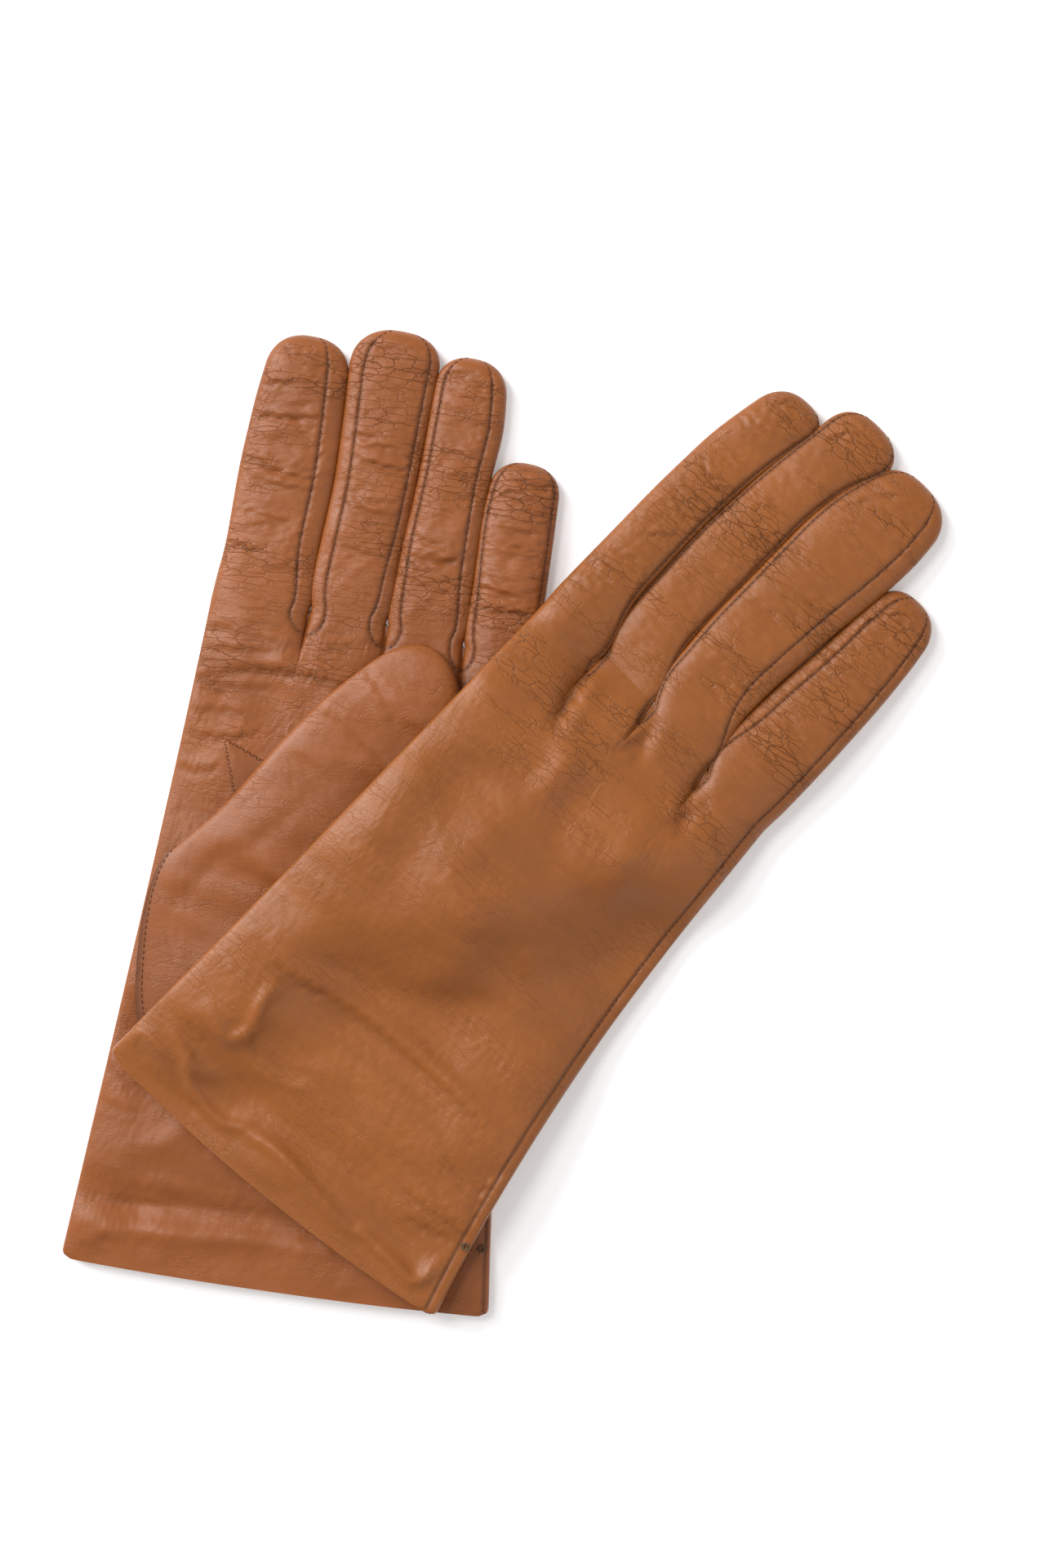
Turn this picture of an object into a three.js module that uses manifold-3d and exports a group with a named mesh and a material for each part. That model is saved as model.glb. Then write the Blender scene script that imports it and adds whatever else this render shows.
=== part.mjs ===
// A pair of leather gloves laid one across the other, in millimetres, +Z up, standing on z = 0.
// The left glove lies flat with its palm up and its thumb folded over the palm. The right glove
// lies across it with its back up and its thumb tucked under its own palm.
// Each glove is drawn in a frame of its own: x across the hand with the index finger at -x, y from
// the cuff to the fingertips, and z up. Leather is modelled as thin walls round open hollows.
import * as THREE from "three";
import { mergeVertices } from "three/addons/utils/BufferGeometryUtils.js";
import Module from "manifold-3d";

const wasm = await Module();
wasm.setup();

// Driving dimensions shared by both gloves.
const LEATHER = 0.7; // wall thickness of the leather
const GAP = 0.3; // clearance kept between neighbouring pieces
const HAND_LOFT = 8.2; // height of the empty hand, both walls included
const FINGER_STEP = 0.6; // how much flatter an empty finger is than the hand
const FINGER_LOFT = HAND_LOFT - FINGER_STEP; // height of an empty finger
const THUMB_LOFT = 6.6; // height of an empty thumb
const CUFF_WIDTH = 123; // width of the cuff's open end
const FOLD_FLARE = 1.1; // how the folded side widens towards the cuff: 1 is straight
const OUTSEAM_FLARE = 2.0; // how the sewn side widens towards the cuff: more is more hollow
const HEM_DEPTH = 22; // how far the turned hem reaches into the cuff
const HEM_SETBACK = 1; // the hem's edge, in from the cuff's open end
const FINGER_GAP = 0.8; // space between neighbouring fingers at their roots
const THREAD_RADIUS = 0.4; // sewing thread, with its raised seam
const KNOT_RADIUS = 1.3; // the tack knot that holds the hem at the outseam
const KNOT_SETBACK = 3; // how far the knot sits inside the hem's depth
const KNOT_INSET = 4; // how far the right glove's knot sits in from the outseam
const TABLE_CLEARANCE = 0.4; // height of the right fingertips over the table
const DRAPE_CLEARANCE = 0.6; // height of the right glove over what it lies on
const DRAPE_REACH = 34; // distance over which the right glove sinks beside a support
const DRAPE_SHOULDER = 3; // flat margin that the drape keeps round a support
const THUMB_HOLE = { across: 9, along: 12 }; // half sizes of the hole between hand and thumb
const QUIRK = { from: 35, to: 45, reach: 12 }; // the quirk's place along the thumb, and its reach
const THUMB_SEAM = { above: 5, length: 36, inset: 3 }; // the seam beside the left thumb's root

const COLOURS = {
  leather: 0xa26038,
  inside: 0xb98058,
  thread: 0x5a2c16,
  knot: 0x6b5a2e,
};
const ROUGHNESS = { leather: 0.5, inside: 0.8, thread: 0.7, knot: 0.7 };

// One glove's own sizes: where its cuff lies on the table, how long its hand is up to the middle
// finger's root, how far its finger roots sit towards the little finger, and its fingers and thumb.
// A finger's step is its root's place behind (-) or before (+) the middle finger's.
const LEFT = {
  name: "left",
  palmUp: true,
  cuffCentre: { x: -63.8, y: -132.3 },
  heading: 6.9,
  handLength: 193,
  palmShift: 4.8,
  sheetRows: 10,
  columnsPerFinger: 1,
  fingers: {
    index: { step: -0.5, rootWidth: 28.3, tipWidth: 23, length: 79, lean: 3.8 },
    middle: { step: 0, rootWidth: 22, tipWidth: 20, length: 83.5, lean: 4.3 },
    ring: { step: -3.5, rootWidth: 22, tipWidth: 21, length: 81, lean: 5.2 },
    little: { step: -7, rootWidth: 20.7, tipWidth: 19, length: 56.5, lean: 5.4 },
  },
  thumb: { across: -35, along: 100, heading: 36.4, length: 104, baseHalf: 20, tipHalf: 16 },
};
const RIGHT = {
  name: "right",
  palmUp: false,
  cuffCentre: { x: -63.3, y: -102.2 },
  heading: 39.2,
  handLength: 175,
  palmShift: 0.1,
  sheetRows: 22,
  columnsPerFinger: 3,
  fingers: {
    index: { step: -2, rootWidth: 22.2, tipWidth: 20.6, length: 96.5, lean: 5 },
    middle: { step: 0, rootWidth: 19.6, tipWidth: 19.6, length: 102, lean: 7 },
    ring: { step: -4, rootWidth: 23.4, tipWidth: 20, length: 101, lean: 7 },
    little: { step: -9, rootWidth: 23.2, tipWidth: 19.8, length: 78.5, lean: 5.2 },
  },
  thumb: { across: -24, along: 105, heading: 35.8, length: 75, baseHalf: 14, tipHalf: 13 },
};
const FINGERS = ["index", "middle", "ring", "little"];

const radians = THREE.MathUtils.degToRad;
const lerp = THREE.MathUtils.lerp;
const smoothstep = THREE.MathUtils.smoothstep;
const v3 = (x, y, z) => new THREE.Vector3(x, y, z);
const steps = (count, from = 0, to = 1) =>
  Array.from({ length: count + 1 }, (_, i) => lerp(from, to, i / count));

// Closed solid between two grids of points. Each grid is a list of rows, and each row a list of
// points across. wrap joins the last point of a row to the first; pole says that the last row has
// shrunk to one point in each grid, so that end needs no rim. Every patch is split along the
// diagonal on which x and y rise together, so that walls laid on one another stay parallel.
function wallBetween(outer, inner, { wrap = false, pole = false } = {}) {
  const rows = outer.length;
  const columns = outer[0].length;
  const spans = wrap ? columns : columns - 1;
  const corners = [outer, inner].flat(2);
  const at = (side, row, column) => (side * rows + row) * columns + (column % columns);
  const index = [];
  const rising = (p, q) => (p.x - q.x) * (p.y - q.y) > 0;
  const quad = (a, b, c, d) => {
    if (rising(corners[a], corners[c])) index.push(a, b, c, a, c, d);
    else index.push(a, b, d, b, c, d);
  };
  for (let r = 0; r < rows - 1; r++) {
    for (let c = 0; c < spans; c++) {
      quad(at(0, r, c), at(0, r, c + 1), at(0, r + 1, c + 1), at(0, r + 1, c));
      quad(at(1, r, c), at(1, r + 1, c), at(1, r + 1, c + 1), at(1, r, c + 1));
    }
    if (!wrap) {
      const last = columns - 1;
      quad(at(0, r, 0), at(0, r + 1, 0), at(1, r + 1, 0), at(1, r, 0));
      quad(at(0, r, last), at(1, r, last), at(1, r + 1, last), at(0, r + 1, last));
    }
  }
  for (let c = 0; c < spans; c++) {
    const end = rows - 1;
    quad(at(0, 0, c), at(1, 0, c), at(1, 0, c + 1), at(0, 0, c + 1));
    if (!pole) quad(at(0, end, c), at(0, end, c + 1), at(1, end, c + 1), at(1, end, c));
  }
  const geometry = new THREE.BufferGeometry().setFromPoints(corners);
  geometry.setIndex(index);
  return facingOut(geometry);
}

// The same geometry with its shared points merged, no flattened triangles, and its faces outwards.
function facingOut(source) {
  const bare = source.clone();
  bare.deleteAttribute("normal");
  bare.deleteAttribute("uv");
  const geometry = mergeVertices(bare, 1e-4);
  const points = geometry.attributes.position;
  const corner = (i) => new THREE.Vector3().fromBufferAttribute(points, i);
  const kept = [];
  let volume = 0;
  for (let i = 0; i < geometry.index.count; i += 3) {
    const [a, b, c] = [0, 1, 2].map((k) => geometry.index.getX(i + k));
    if (a === b || b === c || c === a) continue;
    kept.push([a, b, c]);
    volume += corner(a).dot(corner(b).cross(corner(c)));
  }
  const ordered = volume < 0 ? kept.map(([a, b, c]) => [a, c, b]) : kept;
  geometry.setIndex(ordered.flat());
  return geometry;
}

function solidOf(geometry) {
  const clean = facingOut(geometry);
  return new wasm.Manifold(
    new wasm.Mesh({
      numProp: 3,
      vertProperties: clean.attributes.position.array,
      triVerts: new Uint32Array(clean.index.array),
    }),
  );
}

// A geometry with another one's volume cut out of it.
function cutOut(geometry, tool) {
  const mesh = solidOf(geometry).subtract(solidOf(tool)).getMesh();
  const result = new THREE.BufferGeometry();
  result.setAttribute("position", new THREE.BufferAttribute(mesh.vertProperties, 3));
  result.setIndex(new THREE.BufferAttribute(mesh.triVerts, 1));
  return result;
}

function addPiece(group, name, geometry, finish = "leather") {
  const shown = geometry.clone();
  shown.computeVertexNormals();
  const material = new THREE.MeshStandardMaterial({
    color: COLOURS[finish],
    roughness: ROUGHNESS[finish],
    metalness: 0,
  });
  const mesh = new THREE.Mesh(shown, material);
  mesh.name = name;
  group.add(mesh);
}

// A sewing thread: a round tube carried along a smooth curve through the points.
function threadAlong(points) {
  const sides = 8;
  const section = new THREE.Shape(
    steps(sides - 1, 0, (2 * Math.PI * (sides - 1)) / sides).map(
      (a) => new THREE.Vector2(THREAD_RADIUS * Math.cos(a), THREAD_RADIUS * Math.sin(a)),
    ),
  );
  return new THREE.ExtrudeGeometry(section, {
    extrudePath: new THREE.CatmullRomCurve3(points),
    steps: 3 * points.length,
    bevelEnabled: false,
  });
}

// Plan of one glove's hand. The finger roots stand side by side from the folded side to the sewn
// side. Each root is a straight line square to its finger, so that the finger hinges on it.
function planOf(glove) {
  const widths = FINGERS.map((name) => glove.fingers[name].rootWidth);
  const palmWidth = widths.reduce((sum, w) => sum + w, 0) + FINGER_GAP * (widths.length - 1);
  const foldSide = glove.palmShift - palmWidth / 2;
  const roots = {};
  let across = foldSide;
  for (const name of FINGERS) {
    const finger = glove.fingers[name];
    const centre = { x: across + finger.rootWidth / 2, y: glove.handLength + finger.step };
    roots[name] = { ...finger, ...centre, lean: radians(finger.lean) };
    across += finger.rootWidth + FINGER_GAP;
  }
  const ends = FINGERS.flatMap((name) => {
    const root = roots[name];
    return steps(glove.columnsPerFinger, -root.rootWidth / 2, root.rootWidth / 2).map((x) => ({
      x: root.x + x,
      y: root.y - x * Math.tan(root.lean),
    }));
  });
  const seamSide = foldSide + palmWidth;
  const fractions = ends.map((end) => (end.x - foldSide) / palmWidth);
  const foldAt = (v) => lerp(foldSide, -CUFF_WIDTH / 2, (1 - v) ** FOLD_FLARE);
  const seamAt = (v) => lerp(seamSide, CUFF_WIDTH / 2, (1 - v) ** OUTSEAM_FLARE);
  return { roots, ends, fractions, foldAt, seamAt };
}

const turn = (glove) => radians(glove.heading);
// Point of the table under a point of a glove's plan, and the way back.
function toTable(glove, x, y) {
  const a = turn(glove);
  return {
    x: glove.cuffCentre.x + x * Math.cos(a) + y * Math.sin(a),
    y: glove.cuffCentre.y - x * Math.sin(a) + y * Math.cos(a),
  };
}
function fromTable(glove, point) {
  const a = turn(glove);
  const dx = point.x - glove.cuffCentre.x;
  const dy = point.y - glove.cuffCentre.y;
  return { x: dx * Math.cos(a) - dy * Math.sin(a), y: dx * Math.sin(a) + dy * Math.cos(a) };
}

// Distance of a point of the plan outside a thumb, and how far along the thumb it is, 0 to 1.
function besideThumb(thumb, x, y) {
  const a = radians(thumb.heading);
  const along = (x - thumb.across) * Math.sin(a) + (y - thumb.along) * Math.cos(a);
  const aside = (x - thumb.across) * Math.cos(a) - (y - thumb.along) * Math.sin(a);
  const share = THREE.MathUtils.clamp(along / thumb.length, 0, 1);
  const past = along - share * (thumb.length - thumb.tipHalf);
  const beyond = share < 1 && along > 0 ? 0 : past;
  return {
    distance: Math.hypot(aside, beyond) - lerp(thumb.baseHalf, thumb.tipHalf, share),
    share,
  };
}

// How strongly a support holds the leather up: 1 over it and its shoulder, 0 beyond the reach.
const heldUp = (distance) => 1 - smoothstep(distance, DRAPE_SHOULDER, DRAPE_REACH);

const leftPlan = planOf(LEFT);
const leftTop = HAND_LOFT;
const leftThumbFloor = leftTop + GAP;
const leftThumbTop = leftThumbFloor + THUMB_LOFT;

// How far a point of the right glove's plan lies outside the left hand's sewn side.
function besideLeftHand(x, y) {
  const point = fromTable(LEFT, toTable(RIGHT, x, y));
  const root = leftPlan.roots.little;
  const v = THREE.MathUtils.clamp(point.y / root.y, 0, 1);
  const past = Math.max(point.y - root.y, 0) * Math.tan(root.lean);
  return point.x - leftPlan.seamAt(v) - past;
}

// Height of the table or of the left hand under a point of the right glove.
const supportUnder = (x, y) =>
  TABLE_CLEARANCE + (leftTop + DRAPE_CLEARANCE - TABLE_CLEARANCE) * heldUp(besideLeftHand(x, y));

// The right thumb is straight, so it slopes down over the left hand's edge to the table.
const rightThumb = RIGHT.thumb;
const thumbTipFloor = TABLE_CLEARANCE;
// Its underside at the base is the lowest that clears the left hand along the middle and edges.
function lowestThumbBase() {
  const a = radians(rightThumb.heading);
  let lowest = leftTop + GAP;
  for (const share of steps(40, 0, 0.9)) {
    for (const side of [-1, 0, 1]) {
      const aside = side * rightThumb.baseHalf;
      const along = share * rightThumb.length;
      const x = rightThumb.across + along * Math.sin(a) + aside * Math.cos(a);
      const y = rightThumb.along + along * Math.cos(a) - aside * Math.sin(a);
      if (besideLeftHand(x, y) > DRAPE_SHOULDER) continue;
      lowest = Math.max(lowest, (leftTop + GAP - thumbTipFloor * share) / (1 - share));
    }
  }
  return lowest;
}
const thumbBaseFloor = lowestThumbBase();

// Height of the right glove's underside over the table.
function rightDrape(x, y) {
  let height = supportUnder(x, y);
  const onLeft = fromTable(LEFT, toTable(RIGHT, x, y));
  const overLeftThumb = heldUp(besideThumb(LEFT.thumb, onLeft.x, onLeft.y).distance);
  height = lerp(height, leftThumbTop + DRAPE_CLEARANCE, overLeftThumb);
  const own = besideThumb(rightThumb, x, y);
  const ownTop = lerp(thumbBaseFloor, thumbTipFloor, own.share) + THUMB_LOFT + DRAPE_CLEARANCE;
  return Math.max(height, lerp(height, ownTop, heldUp(own.distance)));
}

// A row of the hand's ground points at height v of the plan, 0 at the cuff and 1 at the roots.
// Between two of the sheets' own rows it is taken straight from the one to the other.
function groundRow(glove, plan, drape, v) {
  const exact = (row) =>
    plan.ends.map((end, j) => {
      const at = row / glove.sheetRows;
      const x = lerp(plan.foldAt(at), plan.seamAt(at), plan.fractions[j]);
      const y = at * end.y;
      return v3(x, y, drape(x, y));
    });
  const below = Math.floor(v * glove.sheetRows + 1e-6);
  const share = v * glove.sheetRows - below;
  const row = exact(below);
  if (share < 1e-6) return row;
  const next = exact(below + 1);
  return row.map((point, j) => point.lerp(next[j], share));
}

// One wall of the hand: a sheet over the whole plan, with the side wall that is cut in one with it.
// level 0 is the lower wall and 1 the upper; wallSide is -1 at the fold, +1 at the outseam.
function handSheet(glove, plan, drape, level, wallSide) {
  const height = (z) => (level ? HAND_LOFT - z : z);
  const wallEnd = HAND_LOFT - LEATHER - GAP;
  const outer = [];
  const inner = [];
  for (const v of steps(glove.sheetRows)) {
    const ground = groundRow(glove, plan, drape, v);
    const raised = (point, z, inset = 0) => v3(point.x + inset, point.y, point.z + height(z));
    const outerRow = ground.map((point) => raised(point, 0));
    const innerRow = ground.map((point) => raised(point, LEATHER));
    const place = wallSide < 0 ? 0 : ground.length - 1;
    const inset = -wallSide * LEATHER;
    innerRow[place] = raised(ground[place], LEATHER, inset);
    const put = wallSide < 0 ? "unshift" : "push";
    outerRow[put](raised(ground[place], wallEnd));
    innerRow[put](raised(ground[place], wallEnd, inset));
    outer.push(outerRow);
    inner.push(innerRow);
  }
  return wallBetween(outer, inner);
}

// The turned hem: a flat sleeve just inside the cuff, following both walls.
function cuffHem(glove, plan, drape) {
  const drawnIn = (point, next, inset) =>
    point.clone().lerp(next, inset / Math.abs(next.x - point.x));
  const ring = (v, inset) => {
    const bottom = groundRow(glove, plan, drape, v);
    const last = bottom.length - 1;
    const first = drawnIn(bottom[0], bottom[1], inset);
    bottom[last] = drawnIn(bottom[last], bottom[last - 1], inset);
    bottom[0] = first;
    const lower = bottom.map((point) => v3(point.x, point.y, point.z + inset));
    const upper = bottom.map((point) => v3(point.x, point.y, point.z + HAND_LOFT - inset));
    return [...lower, ...upper.reverse()];
  };
  const from = HEM_SETBACK / glove.handLength;
  const to = HEM_DEPTH / glove.handLength;
  const between = steps(glove.sheetRows).filter((v) => v > from && v < to);
  const rows = [from, ...between, to];
  const low = LEATHER + GAP;
  return wallBetween(
    rows.map((v) => ring(v, low)),
    rows.map((v) => ring(v, low + LEATHER)),
    { wrap: true },
  );
}

// Outline of one side of a finger from root to tip, drawn at +x: straight, then a round end.
function fingerSide(finger, inset) {
  const rootHalf = finger.rootWidth / 2;
  const tipHalf = finger.tipWidth / 2;
  const straight = finger.length - tipHalf;
  const sides = steps(2, 0, 1).map((share) => ({
    x: lerp(rootHalf, tipHalf, share) - inset,
    y: lerp(GAP, straight, share),
  }));
  const round = [20, 40, 60, 80].map((degrees) => ({
    x: (tipHalf - inset) * Math.cos(radians(degrees)),
    y: straight + (tipHalf - inset) * Math.sin(radians(degrees)),
  }));
  return [...sides, ...round];
}

// One wall of a finger. wallSide is the side whose wall is cut in one with it, or 0 for none.
function fingerStrip(finger, level, wallSide) {
  const height = (z) => (level ? FINGER_LOFT - z : z);
  const wallEnd = FINGER_LOFT - LEATHER - GAP;
  const full = fingerSide(finger, 0);
  const inset = fingerSide(finger, LEATHER);
  const outer = full.map(({ x, y }) => [v3(-x, y, height(0)), v3(x, y, height(0))]);
  const inner = full.map(({ x, y }) => [v3(-x, y, height(LEATHER)), v3(x, y, height(LEATHER))]);
  if (wallSide) {
    const put = wallSide < 0 ? "unshift" : "push";
    const place = wallSide < 0 ? 0 : 1;
    full.forEach((edge, i) => {
      const within = inset[i];
      inner[i][place] = v3(wallSide * within.x, within.y, height(LEATHER));
      outer[i][put](v3(wallSide * edge.x, edge.y, height(wallEnd)));
      inner[i][put](v3(wallSide * within.x, within.y, height(wallEnd)));
    });
  }
  return wallBetween(outer, inner);
}

// A fourchette: the strip of leather that joins back and palm along one side of a finger.
function fourchette(finger, side) {
  const low = LEATHER + GAP;
  const high = FINGER_LOFT - LEATHER - GAP;
  const upright = ({ x, y }) => [v3(side * x, y, low), v3(side * x, y, high)];
  return wallBetween(
    fingerSide(finger, 0).map(upright),
    fingerSide(finger, LEATHER).map(upright),
  );
}

// The thumb: a flattened tube of leather, open at the base and closed at its round tip.
function thumbShell(thumb) {
  const sides = 16;
  const ring = (y, half, loft, inset) =>
    steps(sides - 1, 0, (2 * Math.PI * (sides - 1)) / sides).map((a) => {
      const x = Math.sign(Math.cos(a)) * Math.abs(Math.cos(a)) ** 0.6 * (half - inset);
      const rise = Math.sign(Math.sin(a)) * Math.abs(Math.sin(a)) ** 0.6;
      return v3(x, y, THUMB_LOFT / 2 + rise * Math.max(loft / 2 - inset, 0));
    });
  const surface = (inset) => {
    const straight = thumb.length - thumb.tipHalf;
    const rings = steps(3, 0, 1).map((share) =>
      ring(share * straight, lerp(thumb.baseHalf, thumb.tipHalf, share), THUMB_LOFT, inset),
    );
    for (const degrees of [25, 45, 60, 75]) {
      const a = radians(degrees);
      const half = inset + (thumb.tipHalf - inset) * Math.cos(a);
      const y = straight + (thumb.tipHalf - inset) * Math.sin(a);
      rings.push(ring(y, half, lerp(inset * 2, THUMB_LOFT, Math.cos(a) ** 0.5), inset));
    }
    const tip = v3(0, thumb.length - inset, THUMB_LOFT / 2);
    rings.push(Array.from({ length: sides }, () => tip.clone()));
    return rings;
  };
  return wallBetween(surface(0), surface(LEATHER), { wrap: true, pole: true });
}

// A vertical oval drill for the hole between the hand and the thumb, standing on the given height.
function thumbHoleDrill(depth) {
  const drill = new THREE.CylinderGeometry(1, 1, depth, 24);
  drill.rotateX(Math.PI / 2);
  drill.scale(THUMB_HOLE.across, THUMB_HOLE.along, 1);
  return drill;
}

// Corners of the quirk, the small triangle let in beside the thumb's base, in the thumb's frame.
function quirkCorners(thumb) {
  const near = -(thumb.baseHalf + GAP);
  return [
    [near, QUIRK.from],
    [near, QUIRK.to],
    [near - QUIRK.reach, QUIRK.to],
  ];
}

const pair = new THREE.Group();

function buildGlove(glove, drape) {
  const plan = planOf(glove);
  const prefix = glove.name + "_";
  const hand = new THREE.Group();
  hand.position.set(glove.cuffCentre.x, glove.cuffCentre.y, 0);
  hand.rotation.z = -turn(glove);
  pair.add(hand);
  const backLevel = glove.palmUp ? 0 : 1;
  const palmLevel = 1 - backLevel;

  // Thumb, on the side that the palm faces.
  const thumb = glove.thumb;
  const thumbGroup = new THREE.Group();
  const baseFloor = glove.palmUp ? leftThumbFloor : thumbBaseFloor;
  const tipFloor = glove.palmUp ? leftThumbFloor : thumbTipFloor;
  const slope = Math.asin((tipFloor - baseFloor) / thumb.length);
  thumbGroup.position.set(thumb.across, thumb.along, baseFloor);
  thumbGroup.rotation.set(slope, 0, -radians(thumb.heading), "ZXY");
  thumbGroup.name = prefix + "thumb_frame";
  hand.add(thumbGroup);
  const holeAlong = THUMB_HOLE.along + 2 * GAP;
  const inThumb = thumbHoleDrill(THUMB_LOFT);
  inThumb.translate(0, holeAlong, glove.palmUp ? 0 : THUMB_LOFT);
  addPiece(thumbGroup, prefix + "thumb", cutOut(thumbShell(thumb), inThumb));
  const quirk = new THREE.Group();
  quirk.position.set(thumb.across, thumb.along, 0);
  quirk.rotation.z = -radians(thumb.heading);
  hand.add(quirk);
  const corners = quirkCorners(thumb);
  const quirkShape = new THREE.ExtrudeGeometry(
    new THREE.Shape(corners.map(([x, y]) => new THREE.Vector2(x, y))),
    { depth: LEATHER, bevelEnabled: false },
  );
  const onPlan = (x, y) => {
    const a = radians(thumb.heading);
    return {
      x: thumb.across + y * Math.sin(a) + x * Math.cos(a),
      y: thumb.along + y * Math.cos(a) - x * Math.sin(a),
    };
  };
  const under = corners.map(([x, y]) => drape(onPlan(x, y).x, onPlan(x, y).y));
  const quirkHeight = glove.palmUp
    ? HAND_LOFT + GAP
    : Math.min(...under) - LEATHER - GAP - DRAPE_CLEARANCE;
  quirkShape.translate(0, 0, quirkHeight);
  addPiece(quirk, prefix + "thumb_quirk", quirkShape);

  // Hand: back and palm, the palm with its thumb hole.
  const inPalm = thumbHoleDrill(HAND_LOFT);
  inPalm.rotateZ(-radians(thumb.heading));
  const hole = onPlan(0, holeAlong);
  inPalm.translate(hole.x, hole.y, drape(hole.x, hole.y) + palmLevel * HAND_LOFT);
  const palm = handSheet(glove, plan, drape, palmLevel, 1);
  addPiece(hand, prefix + "hand_back", handSheet(glove, plan, drape, backLevel, -1));
  addPiece(hand, prefix + "hand_palm", cutOut(palm, inPalm));
  addPiece(hand, prefix + "cuff_hem", cuffHem(glove, plan, drape), "inside");

  // Outseam thread along the sewn side, and the tack knot near the cuff.
  const seamPoints = steps(8, 0.04, 0.96).map((v) => {
    const x = plan.seamAt(v) + GAP + THREAD_RADIUS;
    const y = v * plan.roots.little.y;
    return v3(x, y, drape(x - 2, y) + HAND_LOFT / 2);
  });
  addPiece(hand, prefix + "outseam_thread", threadAlong(seamPoints), "thread");
  const knot = new THREE.SphereGeometry(KNOT_RADIUS, 12, 8);
  knot.rotateX(Math.PI / 2);
  const knotY = HEM_DEPTH - KNOT_SETBACK;
  const knotV = knotY / plan.roots.little.y;
  const knotX = plan.seamAt(knotV);
  if (glove.palmUp) {
    knot.translate(knotX + GAP + 2 * THREAD_RADIUS + GAP + KNOT_RADIUS, knotY, HAND_LOFT / 2);
  } else {
    const top = drape(knotX - KNOT_INSET, knotY) + HAND_LOFT;
    knot.translate(knotX - KNOT_INSET, knotY, top + KNOT_RADIUS + GAP);
  }
  addPiece(hand, prefix + "tack_knot", knot, "knot");

  // Fingers, each on its own root line. The index finger's outer side is the fold and goes with
  // the back; the little finger's outer side is sewn to the palm; the rest are fourchettes.
  for (const name of FINGERS) {
    const finger = plan.roots[name];
    const rootHeight = drape(finger.x, finger.y);
    const fall = glove.palmUp ? 0 : Math.max(rootHeight - TABLE_CLEARANCE, 0);
    const group = new THREE.Group();
    group.name = prefix + name + "_frame";
    group.position.set(finger.x, finger.y, rootHeight);
    group.rotation.set(-Math.asin(fall / finger.length), 0, -finger.lean, "ZXY");
    hand.add(group);
    const foldWall = name === "index" ? -1 : 0;
    const seamWall = name === "little" ? 1 : 0;
    addPiece(group, prefix + name + "_back", fingerStrip(finger, backLevel, foldWall));
    addPiece(group, prefix + name + "_palm", fingerStrip(finger, palmLevel, seamWall));
    if (!foldWall) addPiece(group, prefix + name + "_fourchette_inner", fourchette(finger, -1));
    if (!seamWall) addPiece(group, prefix + name + "_fourchette_outer", fourchette(finger, 1));
  }
}

buildGlove(LEFT, () => 0);
buildGlove(RIGHT, rightDrape);

// The thumb's seam, along the root of the left thumb where it shows beside the folded side.
const thumbSeam = steps(4).map((share) => {
  const y = LEFT.thumb.along + THUMB_SEAM.above - share * THUMB_SEAM.length;
  const x = leftPlan.foldAt(y / LEFT.handLength) + THUMB_SEAM.inset;
  return v3(x, y, HAND_LOFT + GAP + THREAD_RADIUS);
});
addPiece(pair.children[0], "left_thumb_seam_thread", threadAlong(thumbSeam), "thread");

// The origin is under the middle of the pair's own box, on the table.
pair.updateMatrixWorld(true);
const box = new THREE.Box3().setFromObject(pair, true);
const middle = box.getCenter(new THREE.Vector3());
pair.position.set(-middle.x, -middle.y, -box.min.z);

export default pair;
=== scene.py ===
"""A pair of leather dress gloves on a pale table: the left one lies palm up with its thumb folded
over the palm, and the right one lies across it with its back up. Sizes are in millimetres in each
glove's own plan, across the hand towards the little finger and along it towards the fingertips."""

import bpy
import numpy as np
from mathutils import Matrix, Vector


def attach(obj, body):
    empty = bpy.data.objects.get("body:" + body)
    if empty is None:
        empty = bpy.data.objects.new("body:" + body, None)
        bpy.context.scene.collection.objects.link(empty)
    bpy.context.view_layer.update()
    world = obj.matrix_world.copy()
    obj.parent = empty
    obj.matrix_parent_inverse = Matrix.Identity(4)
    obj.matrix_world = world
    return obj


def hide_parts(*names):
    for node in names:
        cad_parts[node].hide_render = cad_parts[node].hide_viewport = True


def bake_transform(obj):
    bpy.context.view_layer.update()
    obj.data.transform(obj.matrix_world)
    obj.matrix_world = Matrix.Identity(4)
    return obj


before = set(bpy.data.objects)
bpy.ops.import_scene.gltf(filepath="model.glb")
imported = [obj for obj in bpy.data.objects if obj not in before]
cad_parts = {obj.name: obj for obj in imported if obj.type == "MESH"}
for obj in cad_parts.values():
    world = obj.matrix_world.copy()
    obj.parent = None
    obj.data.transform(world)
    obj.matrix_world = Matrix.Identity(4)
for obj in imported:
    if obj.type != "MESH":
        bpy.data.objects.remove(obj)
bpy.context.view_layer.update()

# ---------------------------------------------------------------- table, camera and light
# A plain white table top that glows faintly, as a lit white sheet does, under very soft, wide light
# that comes a little from the upper left. The camera looks straight down on the middle of the pair.
bpy.context.scene.view_settings.view_transform = "Standard"
TABLE_SIZE = 6.0
table_mesh = bpy.data.meshes.new("table_top")
edge = TABLE_SIZE / 2
table_mesh.from_pydata(
    [(-edge, -edge, 0), (edge, -edge, 0), (edge, edge, 0), (-edge, edge, 0)], [], [(0, 1, 2, 3)]
)
table_top = bpy.data.objects.new("table_top", table_mesh)
bpy.context.scene.collection.objects.link(table_top)
table_paint = bpy.data.materials.new("white table")
table_paint.use_nodes = True
table_shader = table_paint.node_tree.nodes["Principled BSDF"]
table_shader.inputs["Base Color"].default_value = (0.92, 0.92, 0.92, 1)
table_shader.inputs["Roughness"].default_value = 0.9
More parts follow.
